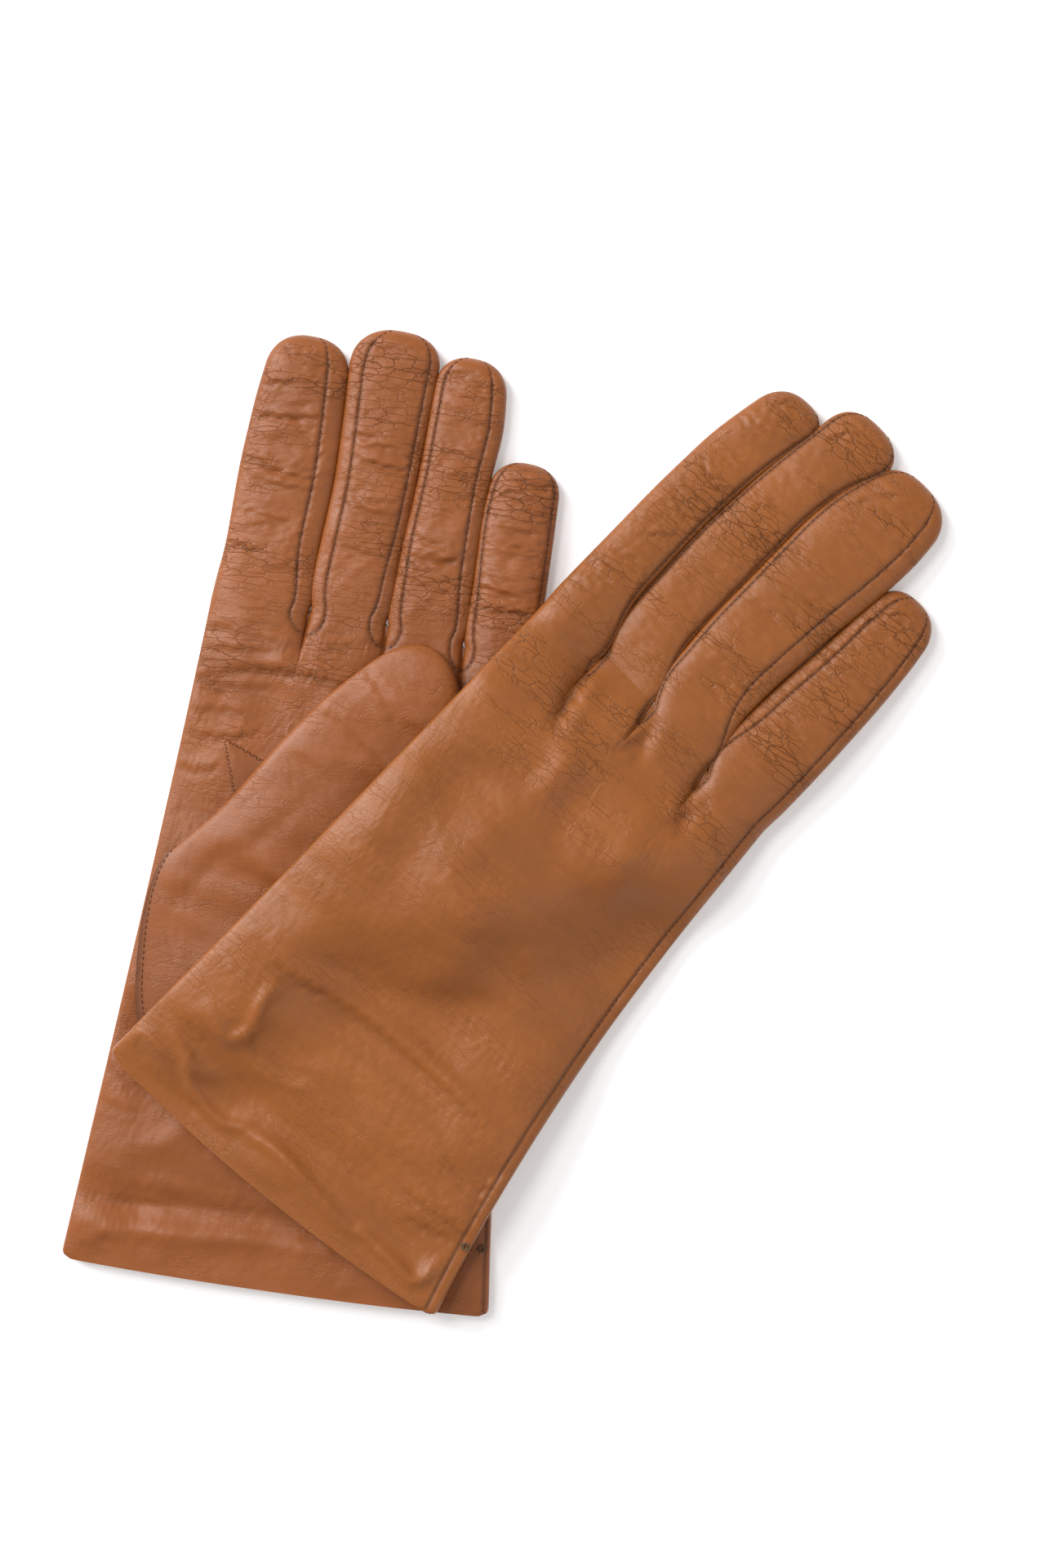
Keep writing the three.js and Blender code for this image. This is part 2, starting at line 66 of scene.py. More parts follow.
table_shader.inputs["Emission Color"].default_value = (1, 1, 1, 1)
table_shader.inputs["Emission Strength"].default_value = 0.22
table_shader.inputs["Specular IOR Level"].default_value = 0.1
table_mesh.materials.append(table_paint)

camera_data = bpy.data.cameras.new("camera")
camera = bpy.data.objects.new("camera", camera_data)
bpy.context.scene.collection.objects.link(camera)
LENS = 85
SENSOR = 36
VIEW_HEIGHT = 0.4512  # height of table in view, in metres
camera_data.lens = LENS
camera_data.sensor_fit = "VERTICAL"
camera_data.sensor_height = SENSOR
MIDDLE_OF_PAIR = (0.0053, 0.0107)
GLOVE_TOP = 0.01
camera.location = (*MIDDLE_OF_PAIR, VIEW_HEIGHT * LENS / SENSOR + GLOVE_TOP)
bpy.context.scene.camera = camera

world = bpy.data.worlds.new("soft room")
world.use_nodes = True
world.node_tree.nodes["Background"].inputs["Color"].default_value = (1, 1, 1, 1)
world.node_tree.nodes["Background"].inputs["Strength"].default_value = 0.47
bpy.context.scene.world = world


def softbox(name, place, size, power):
    """A square lamp of the given side and power at a place, facing the middle of the table."""
    lamp = bpy.data.lights.new(name, "AREA")
    lamp.size = size
    lamp.energy = power
    holder = bpy.data.objects.new(name, lamp)
    holder.location = place
    holder.rotation_euler = (-Vector(place)).to_track_quat("-Z", "Y").to_euler()
    bpy.context.scene.collection.objects.link(holder)


softbox("key softbox", (-1.5, 1.2, 1.2), 1.2, 47)
softbox("sheen softbox", (-0.75, 0.6, 1.8), 0.6, 13)
softbox("fill softbox", (1.5, -0.8, 2.0), 1.8, 8)

# ---------------------------------------------------------------- the two gloves' cut
# Each glove is one folded piece of thin kid leather, sewn up at the little finger's side, with
# strips let in between the fingers. Both are the same pattern for the two hands, and lie flat.
LEATHER = 0.7
HAND_HEIGHT = 8.2
CUFF_HEIGHT = 6.4
FINGER_HEIGHT = 7.6
CUFF_HALF = 62
FINGER_GAP = 0.8
ROUNDING = 16  # length of hand over which the fingers' rounding grows
LIGHT_CREASES = 0.38  # depth of the small creases of a finger that has long ones of its own
STRONG_CREASES = 0.5  # and of one that has none


def finger(name, step, root, tip, length, lean, foot, seams, joints, sides, arcs=()):
    """A finger's sizes. foot and seams are the two seams' distances from its edges at the root
    and further on, joints the shares of its length where it is creased from wear, sides its two
    edges' distances from its middle line at a few places along it, and arcs its longest creases,
    each (across, along, angle, length, bow, width, depth)."""
    return {
        "name": name, "step": step, "root": root, "tip": tip, "length": length,
        "lean": np.radians(lean), "foot": foot, "seams": seams, "joints": joints, "sides": sides,
        "arcs": list(arcs), "crease_depth": LIGHT_CREASES if arcs else STRONG_CREASES,
    }


left = {
    "name": "left", "top": "palm", "bottom": "back",
    "cuff": (-65.476, -132.633), "heading": np.radians(6.9), "length": 193, "shift": 4.8,
    "fingers": [
        finger("index", -0.5, 28.3, 21, 80, 3.8, (3, 5), (3, 6), (0.22, 0.55, 0.85),
               [(15, 12.6, 13.6), (40, 13, 14.5), (61, 12, 13.5), (76, 10.2, 12.2)],
               [(0, 39, -0.14, 18, 1.3, 0.6, 0.7), (-2, 55, 0.11, 21, 0.5, 0.6, 0.7)]),
        finger("middle", 0, 22, 20, 84, 4.3, (4.5, 4.5), (4.5, 2.8), (0.3, 0.62, 0.9),
               [(15, 12.1, 11.1), (38, 11.4, 11.7), (59, 12.7, 11.7), (74, 14, 11.5), (82, 12, 12)],
               [(1.7, 44, -0.05, 14.5, 0.6, 0.6, 0.7)]),
        finger("ring", -3.5, 22, 19, 82, 5.2, (4, 3.5), (2.6, 4.2), (0.25, 0.6, 0.88),
               [(22, 12, 10), (48, 11.5, 8.6), (62, 12, 9.7), (74, 12.3, 8), (80, 12, 7)]),
        finger("little", -7, 20.7, 18, 57, 5.4, (3, 1.5), (1.8, 1.5), (0.3, 0.65, 0.85),
               [(24, 12.4, 8.6), (40, 14, 7.4), (48, 13.4, 6.6), (54, 12.8, 6.2)]),
    ],
    "cuff_halves": (63.3, 61.8), "cuff_bow": (-2.25, 1.3, -1.2), "hollow": 2.0,
    "outseam": 1.5,
}
right = {
    "name": "right", "top": "back", "bottom": "palm",
    "cuff": (-64.976, -102.533), "heading": np.radians(39.2), "length": 175, "shift": 0.1,
    "fingers": [
        finger("index", -2, 22.2, 19, 97.5, 5, (3, 1), (3, 1.3), (0.2, 0.56, 0.9),
               [(9, 11.3, 10.2), (20, 11.4, 6.7), (50, 11.5, 5.9), (72, 10.7, 7.2), (88, 8, 10),
                (96, 6, 13)],
               [(0, 94.5, 0.61, 10, -1.6, 0.6, 0.6), (-1, 61, -0.11, 14, 2.7, 0.6, 0.7),
                (0, 40.5, 0.72, 12, -0.5, 0.6, 0.6)]),
        finger("middle", 0, 19.6, 20, 103, 7, (1, 1), (1.3, 1.3), (0.2, 0.55, 0.88),
               [(7, 13.2, 8.4), (14, 15.1, 4.8), (45, 16.9, 3.3), (68, 16.3, 2.3), (84, 15, 4),
                (95, 13.6, 9.3)],
               [(-6, 95.7, 0.74, 15, -2.5, 0.5, 0.6)]),
        finger("ring", -4, 23.4, 22, 102, 7, (1, 0.9), (1.5, 5.5), (0.2, 0.52, 0.86),
               [(6, 14.5, 11), (12, 16.6, 8.3), (30, 18.6, 8), (52, 19.2, 8.9), (72, 20, 10.6),
                (84, 19, 11), (95, 15.5, 9.5)],
               [(-11, 88.6, 1.0, 22, -1.6, 0.5, 0.6)]),
        finger("little", -9, 23.2, 19, 79.5, 5.2, (0.9, 3.4), (4.5, 3.2), (0.25, 0.55, 0.85),
               [(6, 14.3, 11.6), (13, 15.4, 11.6), (30, 15.2, 11.2), (50, 13.4, 10.4), (67, 13, 8.8),
                (76, 12, 7)],
               [(-6.5, 69.8, 0.96, 16, -1.9, 0.5, 0.6)]),
    ],
    "cuff_halves": (60.5, 60.2), "cuff_bow": (-2.4, 3.6, 0), "hollow": 2.6,
    "outseam": 3.4,
}


def smooth(x, start, end):
    """0 before start, 1 after end, and 3t^2 - 2t^3 between them for the share t."""
    t = np.clip((x - start) / (end - start), 0, 1)
    return t * t * (3 - 2 * t)


def foot_of_gap(one, other):
    """The plan's place where the gap between two neighbouring fingers ends."""
    across = one["x"] + one["half"] + FINGER_GAP / 2
    along = (one["y"] - one["half"] * np.tan(one["lean"])
             + other["y"] + other["half"] * np.tan(other["lean"])) / 2
    return across, along


def lay_out(glove):
    """The roots of the fingers stand side by side, from the folded side to the sewn side, each
    square to its own finger. Adds to each finger the middle of its root and half its width."""
    width = sum(f["root"] for f in glove["fingers"]) + 3 * FINGER_GAP
    glove["fold"] = glove["shift"] - width / 2
    glove["sewn"] = glove["shift"] + width / 2
    across = glove["fold"]
    for f in glove["fingers"]:
        f["x"] = across + f["root"] / 2
        f["y"] = glove["length"] + f["step"]
        f["half"] = f["root"] / 2
        across += f["root"] + FINGER_GAP


lay_out(left)
lay_out(right)


FOLD_HOLLOW = 1.1


def fold_edge(glove, v):
    """The folded side's place at the share v of the hand: nearly straight, wider at the cuff."""
    return glove["fold"] - (glove["cuff_halves"][0] + glove["fold"]) * (1 - v) ** FOLD_HOLLOW


def sewn_edge(glove, v):
    """The sewn side's place at the share v of the hand: a hollow curve, wider at the cuff."""
    return glove["sewn"] + (glove["cuff_halves"][1] - glove["sewn"]) * (1 - v) ** glove["hollow"]


def cuff_line(glove, x):
    """The cuff's end: a shallow bow, lowest in the middle, on a line that may slope to one side."""
    level, bow, tilt = glove["cuff_bow"]
    share = x / CUFF_HALF
    return level + tilt * share - bow * (1 - share ** 2)


def to_room(glove, x, y):
    """A glove's plan turned by its heading and moved to its cuff's place, in millimetres."""
    c, s = np.cos(glove["heading"]), np.sin(glove["heading"])
    return glove["cuff"][0] + x * c + y * s, glove["cuff"][1] - x * s + y * c


def to_plan(glove, X, Y):
    """The way back from the room to a glove's plan."""
    c, s = np.cos(glove["heading"]), np.sin(glove["heading"])
    dx, dy = X - glove["cuff"][0], Y - glove["cuff"][1]
    return dx * c - dy * s, dx * s + dy * c


def placed(glove, x, y, z):
    """Points of a glove's plan with heights, as metres in the room, in a last axis of three."""
    X, Y = to_room(glove, x, y)
    return np.stack([X, Y, np.broadcast_to(z, np.shape(X))], axis=-1) / 1000


# The left glove lies on the table. The right one is held up by the left hand, by its thumb and by
# its own thumb, and sinks to the table beside them in a soft slope.
LEFT_THUMB = {"x": -35, "y": 100, "heading": 36.4, "length": 104, "base": 20, "tip": 16}
RIGHT_THUMB = {"x": -24, "y": 105, "heading": 35.8, "length": 75, "base": 14, "tip": 13}
THUMB_HEIGHT = 6.6
LEFT_THUMB_TOP = HAND_HEIGHT + 0.3 + THUMB_HEIGHT
LEFT_AIR = 0.05  # air between the table and the left glove
RIGHT_AIR = 0.4  # air between the table and the right glove
LAYER_AIR = 0.6  # air between the right glove and what it lies on
RIGHT_THUMB_FLOOR = (14.0, RIGHT_AIR)  # height of the thumb's underside at its base and its tip
SLOPE = (3, 34)  # a support's full hold reaches the first distance, and none is left at the second


def held(distance):
    """How strongly a support holds leather up: 1 close beside it, easing to 0 along the slope."""
    return 1 - smooth(distance, *SLOPE)


def right_thumb_floor(share):
    """Height of the right thumb's underside at a share of its length."""
    base, tip = RIGHT_THUMB_FLOOR
    return base + (tip - base) * share


def beside_thumb(thumb, x, y):
    """Distance outside a tapered thumb, and the share of its length, for points of the plan."""
    a = np.radians(thumb["heading"])
    along = (x - thumb["x"]) * np.sin(a) + (y - thumb["y"]) * np.cos(a)
    aside = (x - thumb["x"]) * np.cos(a) - (y - thumb["y"]) * np.sin(a)
    share = np.clip(along / thumb["length"], 0, 1)
    past = along - share * (thumb["length"] - thumb["tip"])
    beyond = np.where((share < 1) & (along > 0), 0, past)
    half = thumb["base"] + (thumb["tip"] - thumb["base"]) * share
    return np.hypot(aside, beyond) - half, share


def right_drape(x, y):
    """Height of the right glove's underside: the table or the left hand, raised over the left
    thumb and over its own thumb, each held with the strength of held()."""
    lx, ly = to_plan(left, *to_room(right, x, y))
    little = left["fingers"][3]
    v = np.clip(ly / little["y"], 0, 1)
    beside = lx - sewn_edge(left, v) - np.maximum(ly - little["y"], 0) * np.tan(little["lean"])
    height = RIGHT_AIR + (HAND_HEIGHT + LAYER_AIR - RIGHT_AIR) * held(beside)
    over_left = held(beside_thumb(LEFT_THUMB, lx, ly)[0])
    height = height + (LEFT_THUMB_TOP + LAYER_AIR - height) * over_left
    distance, share = beside_thumb(RIGHT_THUMB, x, y)
    own_top = right_thumb_floor(share) + THUMB_HEIGHT + LAYER_AIR
    return np.maximum(height, height + (own_top - height) * held(distance))


def flat_on_table(x, y):
    """Height of the left glove's underside: the table."""
    return np.full(np.shape(x), LEFT_AIR)


left["drape"] = flat_on_table
right["drape"] = right_drape

# ---------------------------------------------------------------- leather, its grain and wear
# Thin glove leather, tanned and dyed in a warm brown, with a soft semi-gloss finish. It is finely
# grained, crazed where it has been bent, a little uneven in tone, and darker in its seams. Shade
# is painted into its creases, in the same mark as the seams.
LEFT_COLOUR = (0.268, 0.076, 0.0150, 1)
RIGHT_COLOUR = (0.278, 0.082, 0.0125, 1)
INSIDE_COLOUR = (0.45, 0.22, 0.10, 1)
THREAD_COLOUR = (0.11, 0.030, 0.010, 1)
KNOT_COLOUR = (0.15, 0.085, 0.04, 1)


def node_group(name, inputs, outputs):
    """An empty shader node group with the named (name, socket type, default) inputs and outputs."""
    group = bpy.data.node_groups.new(name, "ShaderNodeTree")
    for label, kind, value in inputs:
        socket = group.interface.new_socket(label, in_out="INPUT", socket_type=kind)
        if value is not None:
            socket.default_value = value
    for label, kind in outputs:
        group.interface.new_socket(label, in_out="OUTPUT", socket_type=kind)
    return group


def adder(tree):
    """A short way to add a node to a tree: add(type, settings, inputs) with sockets or values. An
    input is given by its name, or as i and its number."""

    def add(kind, settings=None, **inputs):
        node = tree.nodes.new(kind)
        for key, value in (settings or {}).items():
            setattr(node, key, value)
        for key, value in inputs.items():
            socket = node.inputs[int(key[1:])] if key[0] == "i" else node.inputs[key]
            if isinstance(value, bpy.types.NodeSocket):
                tree.links.new(value, socket)
            else:
                socket.default_value = value
        return node

    return add


WANDER = 0.0035  # how far, in metres, the crazing's lines stray
SEAM_SHADE = 0.5
CRAZE_SHADE = 0.28
CRAZE_DEPTH = 0.22
FAINT_DEPTH = 0.06
GRAIN_HEIGHT = 0.035
RIPPLE_HEIGHT = 0.05
CRAZE_STRETCH = 1.8  # how much longer the crazing's cells are across a finger than along it


def leather_surface():
    """The skin's own look, from places in the leather: broad and fine changes of tone, crazing as
    thin lines between irregular cells where the leather is worn, and a fine grain. The tone is
    darkened in seams, in the crazing and, as painted shade, in creases, which come in with the
    seam mark. Gives the colour, the roughness and a height in millimetres."""
    group = node_group(
        "glove leather surface",
        [
            ("Place", "NodeSocketVector", None),
            ("Colour", "NodeSocketColor", None),
            ("Seam", "NodeSocketFloat", 0.0),
            ("Worn", "NodeSocketFloat", 0.0),
        ],
        [
            ("Colour", "NodeSocketColor"),
            ("Roughness", "NodeSocketFloat"),
            ("Height", "NodeSocketFloat"),
        ],
    )
    add = adder(group)
    given = add("NodeGroupInput").outputs
    place = given["Place"]

    def noise(scale, detail, rough=0.5):
        node = add("ShaderNodeTexNoise", None, Vector=place)
        node.inputs["Scale"].default_value = scale
        node.inputs["Detail"].default_value = detail
        node.inputs["Roughness"].default_value = rough
        return node.outputs["Fac"]

    def maths(operation, a, b=0.0, c=0.0):
        return add("ShaderNodeMath", {"operation": operation}, i0=a, i1=b, i2=c).outputs[0]

    def ranged(value, low, high, to_low, to_high):
        node = add("ShaderNodeMapRange", {"interpolation_type": "SMOOTHSTEP"}, i0=value)
        for label, number in zip(("From Min", "From Max", "To Min", "To Max"),
                                 (low, high, to_low, to_high)):
            node.inputs[label].default_value = number
        return node.outputs[0]

    broad = noise(22, 3)
    blotch = noise(150, 4, 0.6)
    drift = add("ShaderNodeTexNoise", None, Vector=place)
    drift.inputs["Scale"].default_value = 260
    drift.inputs["Detail"].default_value = 3
    warp = add("ShaderNodeVectorMath", {"operation": "SCALE"}, i0=drift.outputs["Color"])
    warp.inputs["Scale"].default_value = WANDER
    warped = add("ShaderNodeVectorMath", {"operation": "ADD"}, i0=place, i1=warp.outputs[0])

    def lines_between_cells(scale, width):
        cells = add("ShaderNodeTexVoronoi", {"feature": "DISTANCE_TO_EDGE"},
                    Vector=warped.outputs[0])
        cells.inputs["Scale"].default_value = scale
        return ranged(cells.outputs["Distance"], 0.0, width, 1.0, 0.0)

    line = lines_between_cells(270, 0.07)
    fine_line = lines_between_cells(760, 0.14)
    where = ranged(noise(60, 2), 0.40, 0.62, 0.0, 1.0)
    worn = maths("MULTIPLY", given["Worn"], where)
    craze = maths("MULTIPLY", line, worn)
    faint = maths("MULTIPLY", fine_line, maths("ADD", maths("MULTIPLY", worn, 0.5), 0.22))
    grain = noise(1500, 2)
    ripple = noise(330, 3, 0.55)

    tone = maths("ADD", maths("MULTIPLY", broad, 0.34), maths("MULTIPLY", blotch, 0.27))
    tone = maths("ADD", tone, 0.695)
    # The seam mark darkens the seams and also carries painted shade in the creases.
    dark = maths("MULTIPLY", given["Seam"], SEAM_SHADE)
    dark = maths("ADD", dark, maths("MULTIPLY", craze, CRAZE_SHADE))
    light = maths("MULTIPLY", tone, maths("SUBTRACT", 1.0, dark))
    shade = add("ShaderNodeCombineColor", None, i0=light, i1=light, i2=light)
    mixed = add("ShaderNodeMix", {"data_type": "RGBA", "blend_type": "MULTIPLY"})
    mixed.inputs["Factor"].default_value = 1.0
    group.links.new(given["Colour"], mixed.inputs[6])
    group.links.new(shade.outputs[0], mixed.inputs[7])

    height = maths("MULTIPLY", craze, -CRAZE_DEPTH)
    for layer, amount in ((faint, -FAINT_DEPTH), (grain, GRAIN_HEIGHT), (ripple, RIPPLE_HEIGHT)):
        height = maths("ADD", height, maths("MULTIPLY", layer, amount))
    gloss = maths("ADD", maths("MULTIPLY", blotch, 0.16), 0.34)
    gloss = maths("ADD", gloss, maths("MULTIPLY", given["Seam"], 0.2))
    out = add("NodeGroupOutput")
    group.links.new(mixed.outputs[2], out.inputs["Colour"])
    group.links.new(gloss, out.inputs["Roughness"])
    group.links.new(height, out.inputs["Height"])
    return group


LEATHER_SURFACE = leather_surface()


def leather_material(name, colour, heading):
    """A leather whose crazing runs across the fingers of a glove laid at that heading: places are
    turned with the glove and drawn out across it."""
    material = bpy.data.materials.new(name)
    material.use_nodes = True
    tree = material.node_tree
    add = adder(tree)
    shader = tree.nodes["Principled BSDF"]
    place = add("ShaderNodeTexCoord").outputs["Object"]
    turned = add("ShaderNodeMapping", {"vector_type": "TEXTURE"}, Vector=place)
    turned.inputs["Rotation"].default_value = (0, 0, -float(heading))
    turned.inputs["Scale"].default_value = (CRAZE_STRETCH, 1 / CRAZE_STRETCH, 1)
    skin = add("ShaderNodeGroup", {"node_tree": LEATHER_SURFACE}, Place=turned.outputs[0])
    skin.inputs["Colour"].default_value = colour
    # The seam mark carries the seams' darkening and painted shade in the creases.
    for label in ("Seam", "Worn"):
        mark = add("ShaderNodeAttribute", {"attribute_name": label.lower()})
        tree.links.new(mark.outputs["Fac"], skin.inputs[label])
    bump = add("ShaderNodeBump", None, Height=skin.outputs["Height"])
    bump.inputs["Distance"].default_value = 0.001
    bump.inputs["Strength"].default_value = 1.0
    tree.links.new(skin.outputs["Colour"], shader.inputs["Base Color"])
    tree.links.new(skin.outputs["Roughness"], shader.inputs["Roughness"])
    tree.links.new(bump.outputs["Normal"], shader.inputs["Normal"])
    shader.inputs["Specular IOR Level"].default_value = 0.42
    return material


def plain_material(name, colour, roughness):
    """One colour and roughness all over."""
    material = bpy.data.materials.new(name)
    material.use_nodes = True
    shader = material.node_tree.nodes["Principled BSDF"]
    shader.inputs["Base Color"].default_value = colour
    shader.inputs["Roughness"].default_value = roughness
    shader.inputs["Specular IOR Level"].default_value = 0.3
    return material


left["leather"] = leather_material("left glove leather", LEFT_COLOUR, left["heading"])
right["leather"] = leather_material("right glove leather", RIGHT_COLOUR, right["heading"])
left["inside"] = leather_material("left hem leather", INSIDE_COLOUR, left["heading"])
right["inside"] = leather_material("right hem leather", INSIDE_COLOUR, right["heading"])
sewing_thread = plain_material("dark brown sewing thread", THREAD_COLOUR, 0.75)
tack_thread = plain_material("olive brown tack thread", KNOT_COLOUR, 0.8)


RIM_ANGLE = np.radians(50)  # faces that meet more steeply than this show an edge


def sheet_of_leather(name, outer, material, wrap=False, pole=False, marks=None, thick=LEATHER,
                     normals=None):
    """A closed piece of leather from its outer face, a grid of rows by columns of points in
    metres. The inner face is the outer one moved in along its normals by the thickness, and rims
    join the two faces along every free edge. wrap joins the last column to the first, and pole
    says that the last row is one point. marks are named values for the outer face's points."""
    rows, columns = outer.shape[:2]
    if normals is None:
        normals = grid_normals(outer, wrap)
    inner = outer - normals * thick / 1000
    if pole:
        inner[-1] = inner[-1].mean(axis=0)
    places = np.concatenate([outer.reshape(-1, 3), inner.reshape(-1, 3)])
    number = np.arange(rows * columns).reshape(rows, columns)
    if pole:
        number[-1] = number[-1, 0]
    if wrap:
        number = np.concatenate([number, number[:, :1]], axis=1)
    second = number + rows * columns

    def quads(a, b, c, d):
        return np.stack([a.ravel(), b.ravel(), c.ravel(), d.ravel()], axis=1)

    faces = [
        quads(number[:-1, :-1], number[:-1, 1:], number[1:, 1:], number[1:, :-1]),
        quads(second[:-1, :-1], second[1:, :-1], second[1:, 1:], second[:-1, 1:]),
        quads(number[0, :-1], second[0, :-1], second[0, 1:], number[0, 1:]),
    ]
    if not pole:
        faces.append(quads(number[-1, :-1], number[-1, 1:], second[-1, 1:], second[-1, :-1]))
    if not wrap:
        faces.append(quads(number[:-1, 0], number[1:, 0], second[1:, 0], second[:-1, 0]))
        faces.append(quads(number[:-1, -1], second[:-1, -1], second[1:, -1], number[1:, -1]))
    faces = np.concatenate(faces)
    whole = faces[faces[:, 2] != faces[:, 3]]
    corners = faces[faces[:, 2] == faces[:, 3]][:, :3]
    used, renumbered = np.unique(np.concatenate([whole.ravel(), corners.ravel()]),
                                 return_inverse=True)
    whole = renumbered[: whole.size].reshape(-1, 4)
    corners = renumbered[whole.size:].reshape(-1, 3)
    mesh = bpy.data.meshes.new(name)
    mesh.from_pydata(places[used].tolist(), [], whole.tolist() + corners.tolist())
    for label, values in (marks or {}).items():
        both = np.concatenate([values.ravel(), np.zeros(values.size)])
        mark = mesh.attributes.new(label, "FLOAT", "POINT")
        mark.data.foreach_set("value", both[used].astype(np.float32))
    mesh.materials.append(material)
    mesh.shade_smooth()
    mesh.set_sharp_from_angle(angle=RIM_ANGLE)
    piece = bpy.data.objects.new(name, mesh)
    bpy.context.scene.collection.objects.link(piece)
    return piece


def grid_normals(grid, wrap=False):
    """Unit normals of a grid of points: across the difference of its neighbours in each way."""
    if wrap:
        wide = np.concatenate([grid[:, -1:], grid, grid[:, :1]], axis=1)
        side = (wide[:, 2:] - wide[:, :-2]) / 2
    else:
        side = np.gradient(grid, axis=1)
    forward = np.gradient(grid, axis=0)
    forward[-1] = forward[-2]
    normals = np.cross(side, forward)
    length = np.linalg.norm(normals, axis=2, keepdims=True)
    return normals / np.maximum(length, 1e-12)


# ---------------------------------------------------------------- folds, creases and puckers
# Soft leather never lies quite flat: broad low waves run over the hand, sharp creases cross the
# fingers at their joints, and the seams draw the leather into small puckers.
def waves(seed, count, longest, shortest, height):
    """Seeded plane waves as (height, wavelength, heading, phase) rows, the longer the higher."""
    dice = np.random.default_rng(seed)
    lengths = shortest + (longest - shortest) * dice.random(count)
    heights = height * (lengths / longest) * (0.5 + dice.random(count))
    return np.stack([heights, lengths, dice.random(count) * np.pi, dice.random(count) * 7], 1)


def rolling(x, y, rows):
    """The sum of plane waves at points of the plan, each shifted a little by the one before it."""
    total = np.zeros(np.shape(x))
    bend = 0.0
    for height, length, heading, phase in rows:
        run = x * np.cos(heading) + y * np.sin(heading) + 6 * bend
        wave = np.sin(2 * np.pi * run / length + phase)
        total = total + height * wave
        bend = wave
    return total


def curve_through(points, count):
    """A smooth curve through points of the plan (Catmull-Rom), in evenly spaced points."""
    p = np.array(points, float)
    p = np.concatenate([2 * p[:1] - p[1:2], p, 2 * p[-1:] - p[-2:-1]])
    t = np.linspace(0, 1, 12, endpoint=False)[:, None]
    parts = []
    for a, b, c, d in zip(p[:-3], p[1:-2], p[2:-1], p[3:]):
        parts.append(0.5 * (2 * b + (c - a) * t + (2 * a - 5 * b + 4 * c - d) * t ** 2
                            + (3 * b - a - 3 * c + d) * t ** 3))
    line = np.concatenate(parts + [p[-2:-1]])
    run = np.concatenate([[0], np.cumsum(np.linalg.norm(np.diff(line, axis=0), axis=1))])
    at = np.linspace(0, run[-1], count)
    return np.stack([np.interp(at, run, line[:, k]) for k in range(2)], axis=1)


LINE_POINTS = 40  # points that stand for a ridge's curve


def near_line(x, y, points, width):
    """Nearness to a smooth curve through points of the plan: exp(-(d/width)^2), fading softly
    towards its ends."""
    line = curve_through(points, LINE_POINTS)
    nearest = np.full(np.shape(x), 1e9)
    fade = np.zeros(np.shape(x))
    for number, (px, py) in enumerate(line):
        distance = (x - px) ** 2 + (y - py) ** 2
        closer = distance < nearest
        nearest = np.where(closer, distance, nearest)
        fade = np.where(closer, np.sin(np.pi * (number + 1.5) / (LINE_POINTS + 3)) ** 0.6, fade)
    return fade * np.exp(-nearest / width ** 2)


def ridged(x, y, ridges):
    """Height of soft rounded folds along curves, each with a height, a width and its points: the
    sum of each height times the nearness to its curve. A hollow has a negative height."""
    return sum(height * near_line(x, y, points, width) for height, width, points in ridges)


def creased(x, y, lines):
    """Depth of pressed creases. Each has a middle (x, y), an angle, a length, a bow, a width and a
    depth: a narrow dip exp(-(d/w)^2) with a lip on one side, that wanders a little and fades
    towards its ends. d is the distance from the bowed line."""
    depth = np.zeros(np.shape(x))
    for cx, cy, angle, length, bow, width, deep in lines:
        u = (x - cx) * np.cos(angle) + (y - cy) * np.sin(angle)
        d = (y - cy) * np.cos(angle) - (x - cx) * np.sin(angle) - bow * (2 * u / length) ** 2
        d = d + 0.35 * np.sin(1.3 * u + cx) + 0.2 * np.sin(2.9 * u + cy)
        fade = np.exp(-((2 * u / length) ** 4))
        lip = 0.55 * np.exp(-(((d - 2.3 * width) / (1.7 * width)) ** 2))
        depth = depth + deep * fade * (lip - np.exp(-((d / width) ** 2)))
    return depth


def across_finger(f, seed, each, deep):
    """Seeded creases across a finger, crowded round its joints, in the finger's own frame."""
    dice = np.random.default_rng(seed)
    lines = []
    for joint in f["joints"]:
        for _ in range(each):
            along = joint * f["length"] + 5.5 * dice.standard_normal()
            aside = f["half"] * dice.uniform(-0.6, 0.6)
            angle = 0.16 * dice.standard_normal()
            length = f["half"] * dice.uniform(0.45, 1.5)
            lines.append((aside, along, angle, length, dice.uniform(-1.2, 1.2),
                          dice.uniform(0.5, 0.95), deep * dice.uniform(0.35, 1.1)))
    return lines


# Soft waves of both gloves, then the small unevenness of the skin.
BROAD = {"left": waves(3, 8, 75, 26, 0.42), "right": waves(11, 8, 80, 30, 0.5)}
SMALL = {"left": waves(5, 9, 19, 8, 0.045), "right": waves(17, 9, 20, 8, 0.04)}
# Painted shade: creases are darkened through the seam mark by this share of their depth.
CREASE_SHADE = 0.45  # how much of a crease's depth shows as a darker line
SEAM_WIDTH = 0.55
SEAM_DEPTH = 0.5
PUCKER_LENGTH = 3.6  # from one small gather of an outseam to the next


def groove(distance, width=SEAM_WIDTH):
    """A seam's furrow: 1 at the seam and falling as exp(-(d/width)^2)."""
    return np.exp(-((distance / width) ** 2))


# ---------------------------------------------------------------- hands
# Back and palm of each hand are one skin folded at the index finger's side and sewn at the other.
# They are shown as two sheets that meet unseen under the fold and at the outseam.
TOP_COUNTS = (10, 20, 10)  # columns in a finger's edge band, middle strip and other edge band
BOTTOM_COUNTS = (6, 12, 6)
CORNER_RADIUS = 2.5
FOLD_UNDER = 5  # columns of the top sheet that reach round under the fold
HAND_ROWS = 200
HAND_ROUNDNESS = 5.5
FINGER_ROUNDNESS = 2.5
HEM_RIDGE = 10.5  # the turned hem stands out at this distance from the cuff's end
HEM_RIDGE_WIDTH = 4.5
PLAIN_WEAR = 0.25


